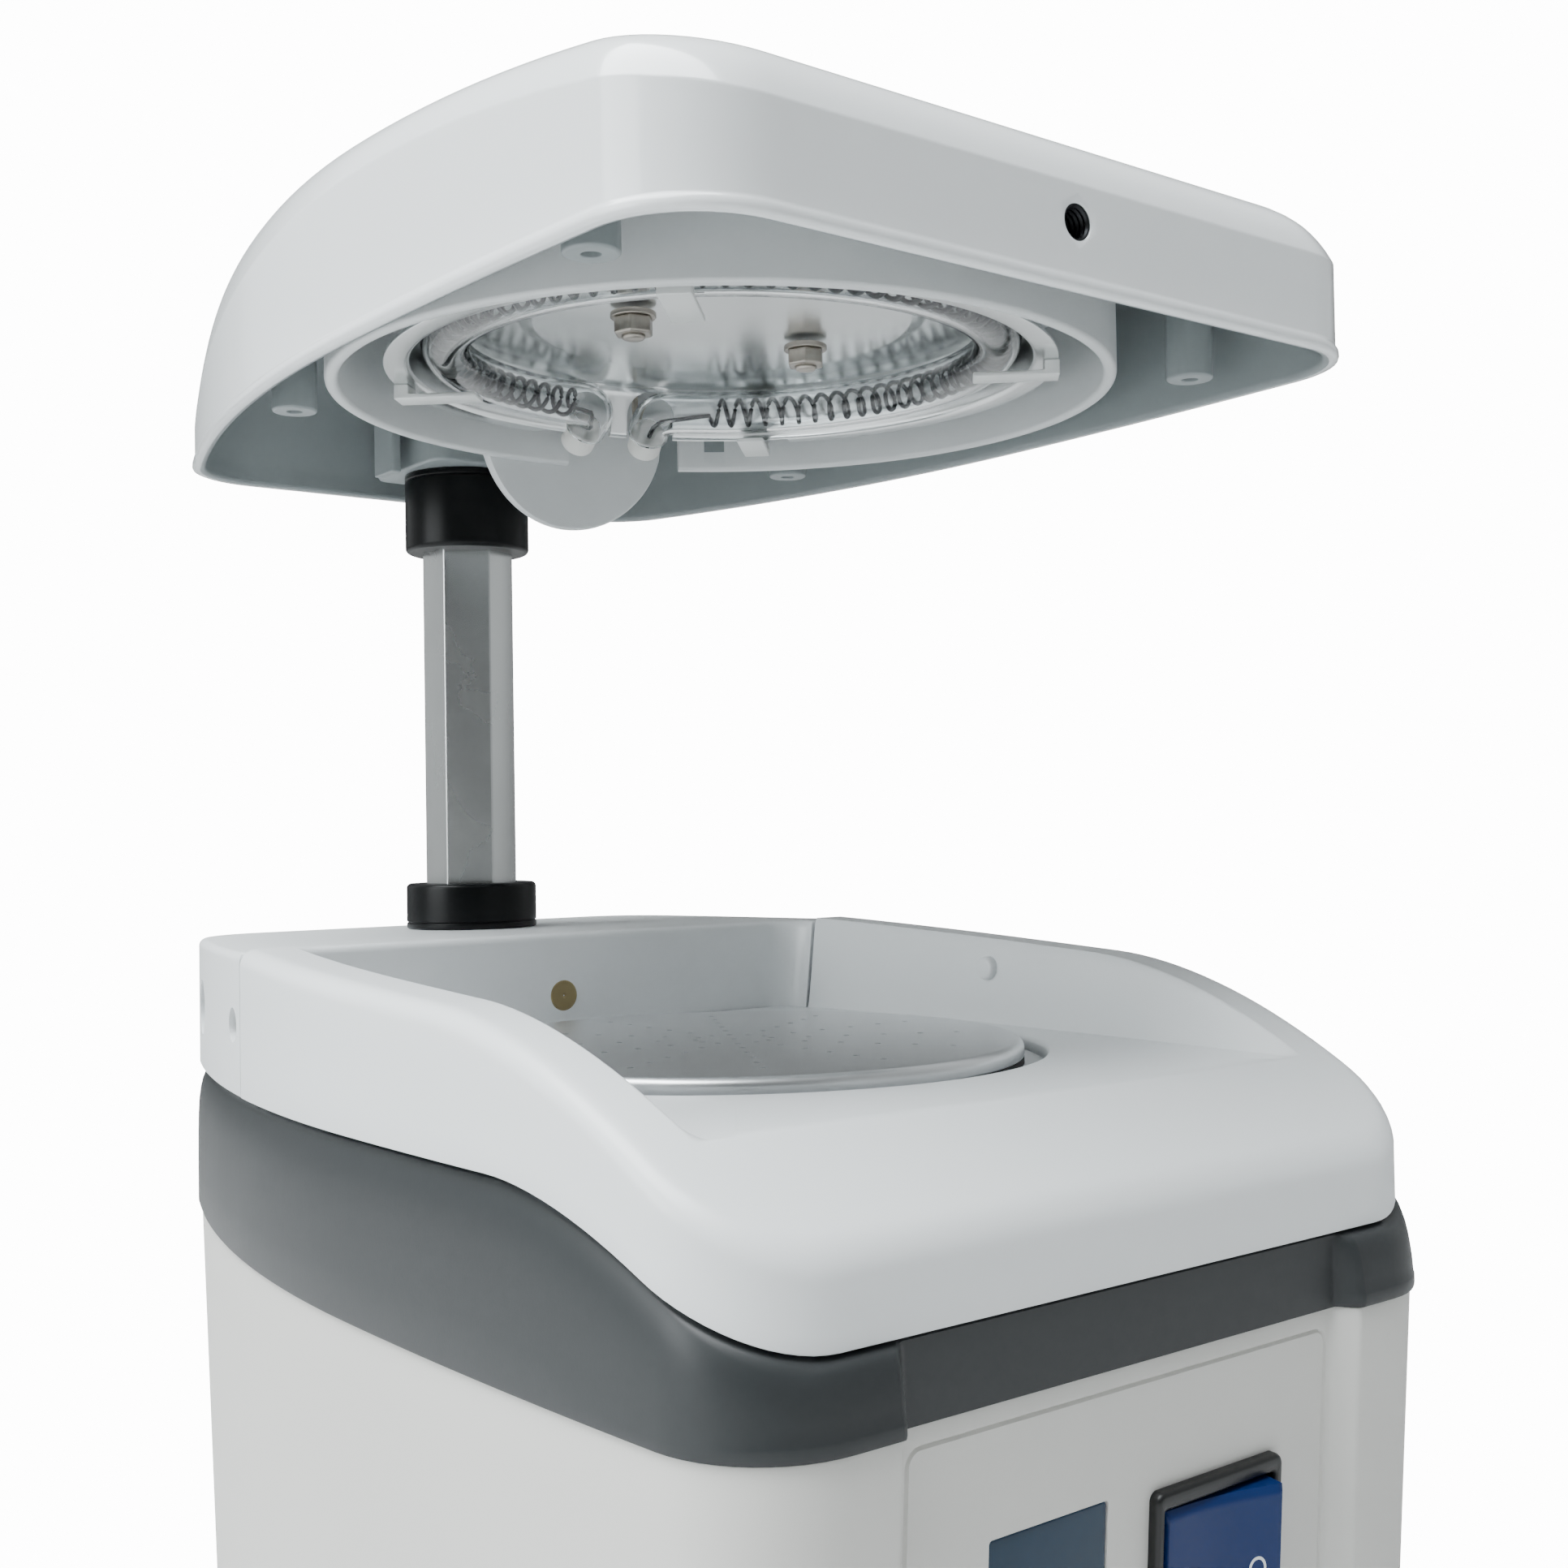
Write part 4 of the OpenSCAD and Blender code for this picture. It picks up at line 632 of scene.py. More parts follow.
def heater_shroud():
    """Round shroud with a rolled rim, an opening behind and a small slot beside it, a pan above
    and a curved tongue that hangs behind the tube ends."""
    s = Shape()
    near, far = (math.radians(90 - SPOUT_TURN + k * 10.34) for k in (-1, 1))
    slot = [math.radians(a) for a in (53.76, 57.44)]
    lap = 0.004
    for low, high, a0, a1, n, edge in (
            (SHROUD_LOW, 304.2, far, slot[0] + 2 * math.pi, 200, 1.0),
            (SHROUD_LOW, 287.5, slot[0] - lap, slot[1] + lap, 5, 1.0),
            (291.4, 304.2, slot[0] - lap, slot[1] + lap, 5, 0.2),
            (SHROUD_LOW, 304.2, slot[1], near, 8, 1.0),
            (SHROUD_LOW + 9, 304.2, near - lap, far + lap, 30, 0.4)):
        p = ring_wall(75.4, 78.0, low, high, a0, a1, n, edge)
        s.grid(p).fan(p[0]).fan(p[-1], flip=True)
    s.lathe([(30, 304), (76.5, 304), (76.5, PAN_TOP), (30, PAN_TOP), (30, 304)],
            at=(0, AXIS_Y, 0), n=128)
    half, drop = 23.5, 15.0
    u = np.linspace(-1, 1, 61)
    edge = SHROUD_LOW + half - drop - np.sqrt(np.clip(half ** 2 - (u * half) ** 2, 0, None))
    edge = np.minimum(edge, SHROUD_LOW + 14)
    ang = math.radians(90 - TONGUE_TURN) - u * half / 79.0
    rows = [polar(r, ang, edge + lift) for r, lift in (
        (77.6, 0.9), (77.7, 0.35), (78.1, 0.05), (79.3, 0.0), (79.9, 0.3), (80.2, 0.9))]
    inner, outer = (polar(r, ang, SHROUD_LOW + 16) for r in (77.6, 80.2))
    s.grid(np.stack([inner, *rows, outer, inner]), wrap=False)
    return s.mesh("shroud_ring", crease=40)


def reflector_dish():
    """Spun dish: flat middle, channel over the tube, side wall and flange; the flange is left out
    behind and the wall is notched for the tube ends."""
    low = [(0, DISC_Z), (38, DISC_Z), (41, ROOF_Z), (60, ROOF_Z), (62, FLANGE_Z), (67, FLANGE_Z)]
    high = [(x, z + 0.8) for x, z in low[::-1]]
    path = rounded(low + high, [0, 1.5, 2, 2.6, 1.2, 0.3, 0.3, 1.6, 3.2, 2, 2, 0], 5)
    dish = Shape().lathe(path, at=(0, AXIS_Y, 0), n=180).mesh("dish")
    notch = Shape()
    for turn in (-TUBE_GAP, TUBE_GAP):
        d = spout(turn)
        side = np.array([-d[1], d[0], 0])
        a = np.linspace(0, math.pi, 17)
        sec = [(5.6 * math.cos(t), TUBE_Z + 5.6 * math.sin(t)) for t in a]
        sec += [(-5.6, 280), (5.6, 280)]
        notch.stack([np.array([r * d + w * side + [0, AXIS_Y, z] for w, z in sec])
                     for r in (56.0, 70.0)])
    dish = cut(dish, notch.mesh("notch"), 40)
    a = np.radians(np.linspace(40, 94, 40))
    sec = np.array([(62.9, 286), (68.5, 286), (68.5, 290), (62.9, 290)])
    p = polar(sec[None, :, 0], a[:, None], sec[None, :, 1])
    return cut(dish, Shape().grid(p).fan(p[0]).fan(p[-1], flip=True).mesh("gap"), 40)


def tube_path(n=260):
    """Middle line of the tube: an arc whose ends turn outwards through a cubic Bezier bend."""
    bend_turn = 9.0 / TUBE_RING * 0.9
    a0 = math.radians(90 - GAP_TURN + TUBE_GAP) + bend_turn
    a1 = math.radians(90 - GAP_TURN - TUBE_GAP) - bend_turn + 2 * math.pi
    a = np.linspace(a0, a1, n)
    arc = np.stack([TUBE_RING * np.cos(a), TUBE_RING * np.sin(a), a * 0], 1)

    def bend(turn, p, t):
        """Cubic Bezier from the arc's end p, along its tangent t, out to the tube's end."""
        end = spout(turn) * 63.5 + [0, 0, -3.2]
        bent = spout(turn) * 57.5 + [0, 0, 0.2]
        u = np.linspace(0, 1, 26)[1:, None]
        v = 1 - u
        return v ** 3 * p + 3 * v ** 2 * u * (p + t * 7) + 3 * v * u ** 2 * bent + u ** 3 * end

    t0 = np.array([math.sin(a0), -math.cos(a0), 0])
    t1 = np.array([-math.sin(a1), math.cos(a1), 0])
    path = np.concatenate([bend(TUBE_GAP, arc[0], t0)[::-1], arc, bend(-TUBE_GAP, arc[-1], t1)])
    return path + [0, AXIS_Y, TUBE_Z], a0


def quartz_tube():
    """Clear tube with its real wall: one skin outside, one inside, joined by round ends."""
    path, _ = tube_path()
    skins = [Shape().sweep(path, r, 28, ends=False).points[0].reshape(len(path), 28, 3)
             for r in (4.8, 4.0)]
    rows = np.concatenate([skins[0], skins[1][::-1], skins[0][:1]])
    return Shape().grid(rows).mesh("clear_tube", crease=60)


def heating_coil():
    """Wound wire: a helix of 79 curls round the tube's middle line, with a straight lead out at
    each end."""
    path, a0 = tube_path()
    curls, per = 79, 20
    t = np.linspace(0, 1, curls * per + 1)
    a = a0 - 0.02 + (math.radians(417) - a0 + 0.02) * t
    b = 2 * math.pi * curls * t
    curl = polar(TUBE_RING + 2.9 * np.cos(b), a, TUBE_Z + 2.9 * np.sin(b))
    lead = path[[3, 8, 14]] + [0, 0, -1.0]
    tail = path[[-22, -14, -8, -3]] + [0, 0, -1.6]
    return Shape().sweep(np.concatenate([lead, curl, tail]), 0.52, 8).mesh(
        "wound_coil", outward=False, crease=80)


def tube_beads():
    """Ceramic beads on the tube ends, each with a small wire hole."""
    s = Shape()
    for turn in (-TUBE_GAP, TUBE_GAP):
        d = spout(turn)
        side = np.array([-d[1], d[0], 0])
        lean = np.column_stack([side, -d * 0.5 - [0, 0, 0.866], d * 0.866 - [0, 0, 0.5]])
        s.lathe(rounded([(0, 3), (0.9, 3), (0.9, 6.0), (3.9, 6.0), (3.9, -0.4), (0, -0.4)],
                        [0, 0, 0.2, 1.2, 0.3, 0]), at=d * 63.6 + [0, AXIS_Y, TUBE_Z - 3.2],
                turn=lean, n=36)
    return s.mesh("tube_beads")


def centre_nuts():
    """Two bolts through the disc: washer, six-sided nut with rounded corners and domed end."""
    s = Shape()
    a = np.linspace(0, 2 * math.pi, 72, endpoint=False)
    hexa = 4.05 * np.cos(math.pi / 6) / np.cos((a + 0.2) % (math.pi / 3) - math.pi / 6)
    hexa = np.minimum(hexa, 3.95)
    for x in (-21.4, 21.4):
        s.lathe(rounded([(0, 296.8), (4.5, 296.8), (4.5, 295.6), (0, 295.6)], [0, 0.3, 0.3, 0]),
                at=(x, AXIS_Y, 0), n=48)
        s.slab(polar(hexa, a, 0)[:, :2] + [x, 0], 292.3, 295.6, 0.2, lower_r=0.5)
        s.lathe(rounded([(0, 293.1), (2.3, 293.1), (2.3, 291.5), (0, 291.2)], [0, 0, 0.7, 0]),
                at=(x, AXIS_Y, 0), n=32)
    return s.mesh("centre_nuts", crease=30)


# Column

def column_bar():
    """Hexagonal bar, nineteen across the flats, with slightly rounded corners."""
    reach = 19 / math.sqrt(3)
    corners = [(reach * math.cos(math.radians(a)), reach * math.sin(math.radians(a)))
               for a in range(90, 450, 60)]
    ring = np.concatenate([
        rounded([corners[k - 1], corners[k], corners[(k + 1) % 6]], [0, 0.7, 0], 4)[1:-1]
        for k in range(6)]) + [0, COLUMN_Y]
    return Shape().stack([level(ring, 91), level(ring, 317)]).mesh("column_bar", crease=20)


def collar(name, r, low, high, foot):
    """Black collar with rounded edges and a fine groove near its foot."""
    g = low + (1.6 if foot else high - low - 1.6)
    path = rounded([(0, low), (r, low), (r, g - 0.3), (r - 0.3, g), (r, g + 0.3), (r, high),
                    (0, high)], [0, 1.1, 0, 0.1, 0, 1.1, 0], 6)
    return Shape().lathe(path, at=(0, COLUMN_Y, 0), n=128).mesh(name)


# Cover and rear block

def cover_rows():
    """Rings of the cover from the seam up the outer wall, over the wing, down to the deck and in
    to the recess. A ring follows the front and sides of the plan, turns in at the side seam and
    closes along the rear edge of the deck."""
    def half_ring(es, ef, rc):
        """Front, corner arc of radius rc and side, moved in by ef in front and es beside."""
        fy = COVER_FRONT + ef
        end = -math.atan((AXIS_Y - fy - rc) / 1200)
        cy = fy + rc
        cx = float(half_width(cy + rc * math.sin(end))) - es - rc * math.cos(end)
        xs = np.linspace(0, cx, 16)[:-1]
        a = np.linspace(-math.pi / 2, end, 15)[:-1]
        y0 = cy + rc * math.sin(end)
        ys = y0 + (SEAM_BACK - y0) * np.linspace(0, 1, 44)
        x = np.concatenate([xs, cx + rc * np.cos(a), half_width(ys) - es])
        y = np.concatenate([xs * 0 + fy, cy + rc * np.sin(a), ys])
        return np.stack([x, y], 1)

    def close(half, z):
        """The half at its heights, its way along the deck's rear edge, and the mirror image."""
        foot = float(half_width(SEAM_BACK)) - 15.1
        back = WELL_BACK - 0.3
        tail = np.array([[min(q, half[-1, 0]), SEAM_BACK] for q in (foot, 62)] +
                        [[62, y] for y in (47, 49, 51, back)] +
                        [[x, back] for x in np.linspace(62, 0, 13)[1:]])
        return mirrored(np.concatenate([level(half, z), level(tail, DECK)]))

    def height(half, es):
        """Deck height inside, wing height outside, blended across the leaning inner wall; never
        above the front slope."""
        w = wing_top(half[:, 1])
        t = np.clip((15.0 - es) / 3.0, 0, 1)
        t = smooth(t) * 0.35 + t * 0.65
        return np.minimum(DECK, w) + np.maximum(0, w - DECK) * t

    r = 3.6
    base, skirt = half_ring(COVER_IN, 0, CORNER), half_ring(3.0, 2.4, 17.6)
    seam, foot = side_seam(base[:, 1]), side_seam(skirt[:, 1])
    rows = [close(skirt, foot + 3), close(skirt, foot), close(half_ring(1.0, 0.4, 19.6), seam),
            close(half_ring(0.7, 0.1, 19.9), seam + 0.15), close(base, seam + 0.5)]
    top = wing_top(base[:, 1]) - r
    rows += [close(base, seam + 0.5 + (top - seam - 0.5) * f) for f in (0.25, 0.5, 0.75, 1.0)]
    for a in np.arange(1, 8) * math.pi / 14:
        e = r * (1 - math.cos(a))
        half = half_ring(COVER_IN + e, e, CORNER - e)
        rows.append(close(half, wing_top(half[:, 1]) - r * (1 - math.sin(a))))
    for es, ef in ((5.5, 6.0), (7.5, 8.5), (9.0, 10.5), (10.2, 12.2), (10.9, 13.2), (11.3, 13.8),
                   (11.7, 14.3), (12.1, 14.8), (12.5, 15.3), (12.9, 15.8), (13.4, 16.4),
                   (13.9, 17.0), (14.4, 17.6), (14.8, 18.2), (15.1, 18.7), (15.5, 19.2),
                   (16.2, 19.8), (17.0, 20.35), (17.8, 20.7), (18.6, 21.2)):
        half = half_ring(es, ef, max(20 - 1.05 * es, 1.2))
        rows.append(close(half, height(half, es)))
    last = rows[-1]
    ang = np.arctan2(last[:, 1] - AXIS_Y, last[:, 0])
    rim = polar(63.2, ang, DECK)
    rows += [last + (rim - last) * f for f in (0.12, 0.25, 0.4, 0.6, 0.8, 1.0)]
    rows += [polar(q, ang, DECK - d) for q, d in ((62.6, 0.1), (62.15, 0.45), (62.0, 1.0),
                                                  (62.0, 3.0))]
    return np.stack(rows)


def cover():
    """Cover with one small bump on the inner side of each wing."""
    s = Shape().grid(cover_rows())
    for x in (-1, 1):
        s.lathe(rounded([(2.6, 0), (2.6, 2.2), (0, 2.6)], [0, 0.9, 0]), n=32,
                at=(x * (half_width(AXIS_Y) - 12.6), AXIS_Y, DECK + 12),
                turn=[[0, 0, -x], [0, 1, 0], [x, 0, 0]])
    return s.mesh("white_cover", outward=False, crease=42)


def block_plan(e, z):
    """Plan of the rear block, inset by e: below the deck its front is notched for the deck, above
    it runs on from the leaning wing walls in corners of radius 8; bowed flanks, round rear."""
    rr = CORNER - COVER_IN
    ry = REAR - COVER_IN - rr
    start = math.atan((ry - AXIS_Y) / REAR_BOW)
    rx = float(half_width(ry + rr * math.sin(start))) - COVER_IN - rr * math.cos(start)
    b = np.linspace(start, math.pi / 2, 13)
    r = rr - e
    edge = SEAM_BACK + 0.4 + e
    ys = np.linspace(edge, ry + r * math.sin(start), 26)[:-1]
    side = np.stack([half_width(ys) - COVER_IN - e, ys], 1)
    arc = np.stack([rx + r * np.cos(b), ry + r * np.sin(b)], 1)
    cx, cy, cr = (61.7, 52.4, 0.6) if z < DECK else (56.3 + 3.1 * (z - DECK) / 26.8, 45.0, 8.0)
    t = np.linspace(0, math.radians(81), 10)
    corner = np.stack([cx + (cr + e) * np.sin(t), cy + (cr + e) * np.cos(t)], 1)
    return mirrored(np.concatenate([
        [[0, WELL_BACK + e], [30, WELL_BACK + e]], corner, [[corner[-1, 0], edge]], side, arc,
        [[30, ry + r], [0, ry + r]]]))


def rear_block():
    """Block that carries the column: closed rings with a rounded top edge, then its holes."""
    r = 1.8
    rows = [(0.5, 144.6), (0.15, 144.75), (0.0, 145.2), (0.0, DECK - 0.02), (0.0, DECK),
            (0.0, 162.0), (0.0, BLOCK_TOP - r)]
    rows += [(r * (1 - math.cos(a)), BLOCK_TOP - r * (1 - math.sin(a)))
             for a in np.linspace(0.2, math.pi / 2, 7)]
    rings = [level(block_plan(e, z), z) for e, z in rows]
    body = Shape().stack(rings).mesh("rear_housing", crease=38)
    c = Shape()
    for x, y, r, near, far in ((-1, COLUMN_Y, 6.0, 30, 90), (-1, 52, 3.5, 74, 82),
                               (1, 52, 3.5, 74, 82)):
        c.lathe([(0, near), (r, near), (r, far), (0, far)], at=(0, y, SIDE_HOLE_Z),
                turn=[[0, 0, x], [0, 1, 0], [-x, 0, 0]], n=44)
    c.lathe([(0, 140), (12, 140), (12, 180), (0, 180)], at=(0, COLUMN_Y, 0), n=48)
    return cut(body, c.mesh("holes"))


# Belt and body

FRONT_X = [0, 8, 16, 24, 32, 40, 45, 47.5, 48.4, 49.0, 49.5, 50.0, 50.5, 51.0, 51.5, 52.0, 52.6,
           54, 57]


def recessed(inset, front, rear, depth):
    """Plan whose front steps back by depth between the pilasters, through a soft S-curve."""
    p = plan(inset, front, rear, front_x=FRONT_X)
    step = smooth((52.2 - np.abs(p[:, 0])) / 3.4)
    on_front = p[:, 1] < front + inset + 0.05
    p[:, 1] += np.where(on_front, depth * step, 0)
    return p


def belt():
    """Dark belt: upright below, with a shoulder that curves in under the cover."""
    strip = lambda e: recessed(e, FRONT, REAR, 4.0 - min(e, 3.0))
    rings = [level(strip(e), z) for e, z in ((2.2, 113.05), (0.6, 113.05), (0.15, 113.2),
                                             (0.0, 113.7))]
    for k, (e, d) in enumerate(((0.0, 22), (0.05, 15), (0.15, 10.5), (0.35, 7.0), (0.7, 4.4),
                                (1.15, 2.5), (1.7, 1.1), (2.3, 0.3), (3.0, 0.0), (4.4, 0.0),
                                (4.6, -0.4), (4.6, 3.0)), 4):
        p = strip(e)
        rings.append(level(p, np.maximum(side_seam(p[:, 1]) - 0.9 - d, 113.9 + 0.3 * k)))
    return Shape().grid(np.stack(rings)).mesh("grey_belt", crease=40)


def body():
    """Tapered body: rings between the floor edge and the belt; closed by an inner skin, then cut
    for the display, keys, switch, rear fittings and the fine line round the panel."""
    def ring(z, extra=0.0):
        """Outline at a height, wider towards the top, moved in by extra."""
        t = (BODY_TOP - z) / RISE
        return level(recessed(0.8 + 3.2 * t + extra, FRONT + 3.6 * t, REAR, 4.0), z)

    shell = Shape().grid(np.stack([ring(z, extra) for z, extra in (
        (7.0, 2.8), (6.15, 1.6), (6.0, 1.0), (6.2, 0.3), (7.0, 0),
        *((z, 0) for z in np.linspace(20, 104, 7)), (112.3, 0), (112.85, 0.15), (113.0, 0.5),
        (113.0, 2.6), (112, 3.0), (60, 3.0), (8, 3.0), (7.0, 2.8))])).mesh("body_cover", crease=38)
    c = Shape()
    for x, z, w, h, r in ((*DISPLAY, 25.3, 20, 0.6), (*SWITCH, 29, 23.5, 0.8),
                          *((DISPLAY[0] + KEY_PITCH * k, KEY_Z, 8.6, 8.6, 4.29)
                            for k in (-1, 0, 1))):
        c.stack([front_panel(upright(rounded_box(w, h, r), d), x, z) for d in (-8, 6)])
    cut(shell, c.mesh("openings"))
    o, i = rounded_box(96.0, 88.0, 3.0), rounded_box(94.4, 86.4, 2.2)
    line = [front_panel(upright(q, d), 0, 66) for q, d in (
        (o, 1.0), (o, -0.05), ((o + i) / 2, -0.5), (i, -0.05), (i, 1.0), (o, 1.0))]
    cut(shell, Shape().grid(np.stack(line)).mesh("line"))
    r = Shape()
    for x, z, w, h in ((30, 36, 20.6, 28.6), (-27, 52, 42, 40)):
        r.stack([tilt(upright(rounded_box(w, h, 1.0), d), x, z, REAR_LEAN, "rear")
                 for d in (-8, 6)])
    return cut(shell, r.mesh("rear_openings"))


# Plate

def forming_plate():
    """Turned plate: flat top, rounded rim and twelve rows of small drilled holes."""
    low, top = PLATE_TOP - 3.4, PLATE_TOP + 1
    path = rounded([(0, low), (57.5, low), (57.5, PLATE_TOP), (0, PLATE_TOP)], [0, 0.4, 2.2, 0], 8)
    plate = Shape().lathe(path, at=(0, AXIS_Y, 0), n=180).mesh("disc")
    holes = Shape()
    spots = [(0.0, 0.0)] + [(k * HOLE_STEP * math.cos(a), k * HOLE_STEP * math.sin(a))
                            for a in np.radians(range(0, 360, 30)) for k in range(1, 7)]
    for x, y in spots:
        holes.lathe([(0, low - 1), (0.7, low - 1), (0.7, top), (0, top)], at=(x, AXIS_Y + y, 0),
                    n=12)
    return cut(plate, holes.mesh("drill"))


# Controls

def on_panel(shape, x, z):
    """Lays an upright shape on the front panel: its height becomes the way out of it."""
    shape.points = [front_panel(p[:, [0, 2, 1]], x, z) for p in shape.points]
    return shape


def display():
    """Window of the display, a little below the panel."""
    glass = Shape().slab(rounded_box(24.9, 19.6, 0.6), -1.8, -0.2, 0.25, 3, lower_r=0.01)
    return on_panel(glass, *DISPLAY).mesh("display_glass")


def switch_bezel():
    """Black frame: rounded outside, stepped opening with a chamfered inner edge. Each row gives
    an outline's width, height and corner and its distance out of the panel."""
    w, h = 31.0, 25.5
    low = (w - 1.2, h - 1.2, 1.2, -2.0)
    rows = [low, (w, h, 1.6, 0.0), (w, h, 1.6, 1.2), (w - 0.3, h - 0.3, 1.5, 1.65),
            (w - 0.8, h - 0.8, 1.3, 1.92), (w - 1.4, h - 1.4, 1.1, 2.0), (28.4, 20.9, 0.8, 2.0),
            (27.6, 20.0, 0.5, 1.7), (27.2, 19.5, 0.3, 1.2), (27.2, 19.5, 0.3, -12.0),
            (w - 2.4, h - 2.4, 1.2, -12.0), (w - 2.4, h - 2.4, 1.2, -2.0), low]
    at = lambda w, h, r, d: front_panel(upright(rounded_box(w, h, r), d), *SWITCH)
    s = Shape().grid(np.stack([at(*row) for row in rows]))
    return s.fan(at(27.3, 19.6, 0.3, -11.9)).mesh("switch_bezel")


def rocker_face(x):
    """Height of the rocker's dished face across its width: a raised cosine taken down."""
    return 4.5 - 0.95 * np.cos(x / ROCKER_HALF * math.pi / 2) ** 1.2


def on_rocker(p):
    """From the level rocker's frame to the model's: turned by 8 degrees, set into the panel."""
    c, s = math.cos(math.radians(-8)), math.sin(math.radians(-8))
    x, y = p[..., 0], -p[..., 1]
    return front_panel(np.stack([x * c - y * s, -(x * s + y * c) - 1.0, p[..., 2]], -1), *SWITCH)


def rocker_pad():
    """Blue rocker: two dished halves that meet at a shallow ridge, all edges rounded off."""
    high, n, edge = 18.7, 49, 0.7
    u = np.linspace(-ROCKER_HALF, ROCKER_HALF, n)
    z = np.linspace(-1, 1, 21)[:, None] * high / 2
    drop = lambda over: edge * (1 - np.sqrt(1 - np.clip(over / edge, 0, 1) ** 2))
    down = np.maximum(drop(np.abs(z) - high / 2 + edge), drop(np.abs(u) - ROCKER_HALF + edge))
    top = np.stack(np.broadcast_arrays(u, rocker_face(u) - down, z), -1)
    rim = np.concatenate([top[0, :-1], top[:-1, -1], top[-1, :0:-1], top[:0:-1, 0]])
    back = rim.copy()
    back[:, 1] = -np.clip(4 * (1 - np.abs(back[:, 0]) / ROCKER_HALF) * 1.3, 0, 4)
    s = Shape().grid(top, wrap=False).grid(np.stack([rim, back])).fan(back)
    s.points = [on_rocker(p) for p in s.points]
    return s.mesh("rocker_pad", crease=50)


def rocker_marks():
    """Plain off ring and on bar, a hair above the rocker's face."""
    def place(outline, lift):
        """Lays an outline on the rocker's face, raised by lift."""
        p = upright(outline, lift)
        p[:, 1] += rocker_face(p[:, 0])
        return on_rocker(p)

    a = np.linspace(0, 2 * math.pi, 40, endpoint=False)
    ring = lambda r: np.stack([7.4 + r * np.cos(a), -3.6 + r * 1.15 * np.sin(a)], 1)
    bar = rounded_box(0.55, 3.8, 0.2) + [-7.4, -3.6]
    low, high = -0.1, 0.04
    s = Shape().grid(np.stack([place(ring(r), h) for r, h in (
        (1.7, low), (1.7, high), (1.25, high), (1.25, low))]))
    rows = np.stack([place(bar, low), place(bar, high)])
    return s.grid(rows).fan(rows[1]).mesh("rocker_marks")


def key_cap(name, k):
    """Round key with a dished top and soft edge."""
    cap = Shape().lathe(rounded([(0, -4.5), (5.4, -4.5), (5.4, -3.3), (4.0, -3.3), (4.0, 1.4),
                                 (1.5, 1.15), (0, 1.1)], [0, 0.2, 0.2, 0, 0.5, 1, 0], 5), n=48)
    return on_panel(cap, DISPLAY[0] + KEY_PITCH * k, KEY_Z).mesh(name)


# Small parts

def stud_disc():
    """Turned brass disc with a shallow centre mark and a chamfered rim."""
    path = rounded([(0, 1.75), (0.6, 1.95), (3.2, 2.0), (3.7, 1.6), (3.7, -0.2), (0, -0.2)],
                   [0, 0.3, 0.3, 0.2, 0, 0])
    return Shape().lathe(path, at=(0, WELL_BACK + 1.8, 159), n=56,
                         turn=[[1, 0, 0], [0, 0, -1], [0, 1, 0]]).mesh("stud_disc")


def rubber_feet():
    """Four round feet with a recess for the screw."""
    s = Shape()
    for x in (-1, 1):
        for px, py in ((57.13, -95.0), (46.53, 95.0)):
            s.lathe(rounded([(4.2, 2.5), (4.2, 0.2), (4.6, 0), (7.6, 0), (8.9, 2.2), (9, 6), (2, 6),
                             (2, 2.5), (4.2, 2.5)], [0, 0.1, 0.1, 0.6, 0.6, 0.3, 0, 0, 0]),
                    at=(x * px, py, 0), n=56)
    return s.mesh("rubber_feet")


# Put together

# The inside of the head and its fittings under the dome get the darker finish as painted shade.
shade_inside(wear(head_cover(), "head_white", "head", "head_shell"), "head_inside_shade")
wear(head_fittings(), "head_white", "head", "head_shell", look="head_inside_shade")
wear(thread_insert(), "insert_dark", "head", "handle_insert")
wear(heater_shroud(), "shroud_metal", "head", "heater_shroud")
wear(reflector_dish(), "reflector_metal", "head", "reflector")
wear(quartz_tube(), "quartz_glass", "head", "quartz_tube")
wear(heating_coil(), "coil_wire", "head", "heating_coil")
wear(tube_beads(), "ceramic_white", "head", "ceramic_ends")
wear(centre_nuts(), "nut_steel", "head", "centre_screws")
wear(column_bar(), "column_steel", "head", "column")
wear(collar("upper_ring", 15.0, 265.2, 284.2, False), "collar_black", "head", "upper_collar")
wear(collar("lower_ring", 15.7, BLOCK_TOP, 184.2, True), "collar_black", "base", "lower_collar")
wear(cover(), "cover_white", "base", "cover_tray")
wear(rear_block(), "cover_white", "base", "rear_block")
wear(belt(), "belt_grey", "base", "belt")
wear(body(), "body_white", "base", "body_shell")
wear(forming_plate(), "plate_aluminium", "base", "forming_plate")
wear(display(), "display_blue", "base", "display_window")
wear(switch_bezel(), "switch_black", "base", "switch_frame")
wear(rocker_pad(), "rocker_blue", "rocker", "rocker")
wear(rocker_marks(), "head_white", "rocker")
for name, k in (("key_left", -1), ("key_middle", 0), ("key_right", 1)):
    wear(key_cap(name + "_cap", k), "key_grey", name, name)
wear(stud_disc(), "brass", "base", "brass_stud")
wear(rubber_feet(), "black_rubber", "base", "feet")
for name, width, home in (("tube_clips", 0.25, "head"), ("power_inlet", 0.5, "base"),
                          ("fuse_cap", 0.4, "base"), ("exhaust_grille", 0.4, "base"),
                          ("inlet_pins", 0.3, "base"), ("centre_disc", 0.2, "head"),
                          ("terminal_block", 0.5, "head")):
    wear(softened(name, width), SLOTS[name], home, name)

for name, obj in frame["nodes"].items():
    look = FINISHES[SLOTS[name]]
    if not obj.material_slots:
        obj.data.materials.append(look)
    for slot in obj.material_slots:
        slot.material = look

# Stage, lights, camera

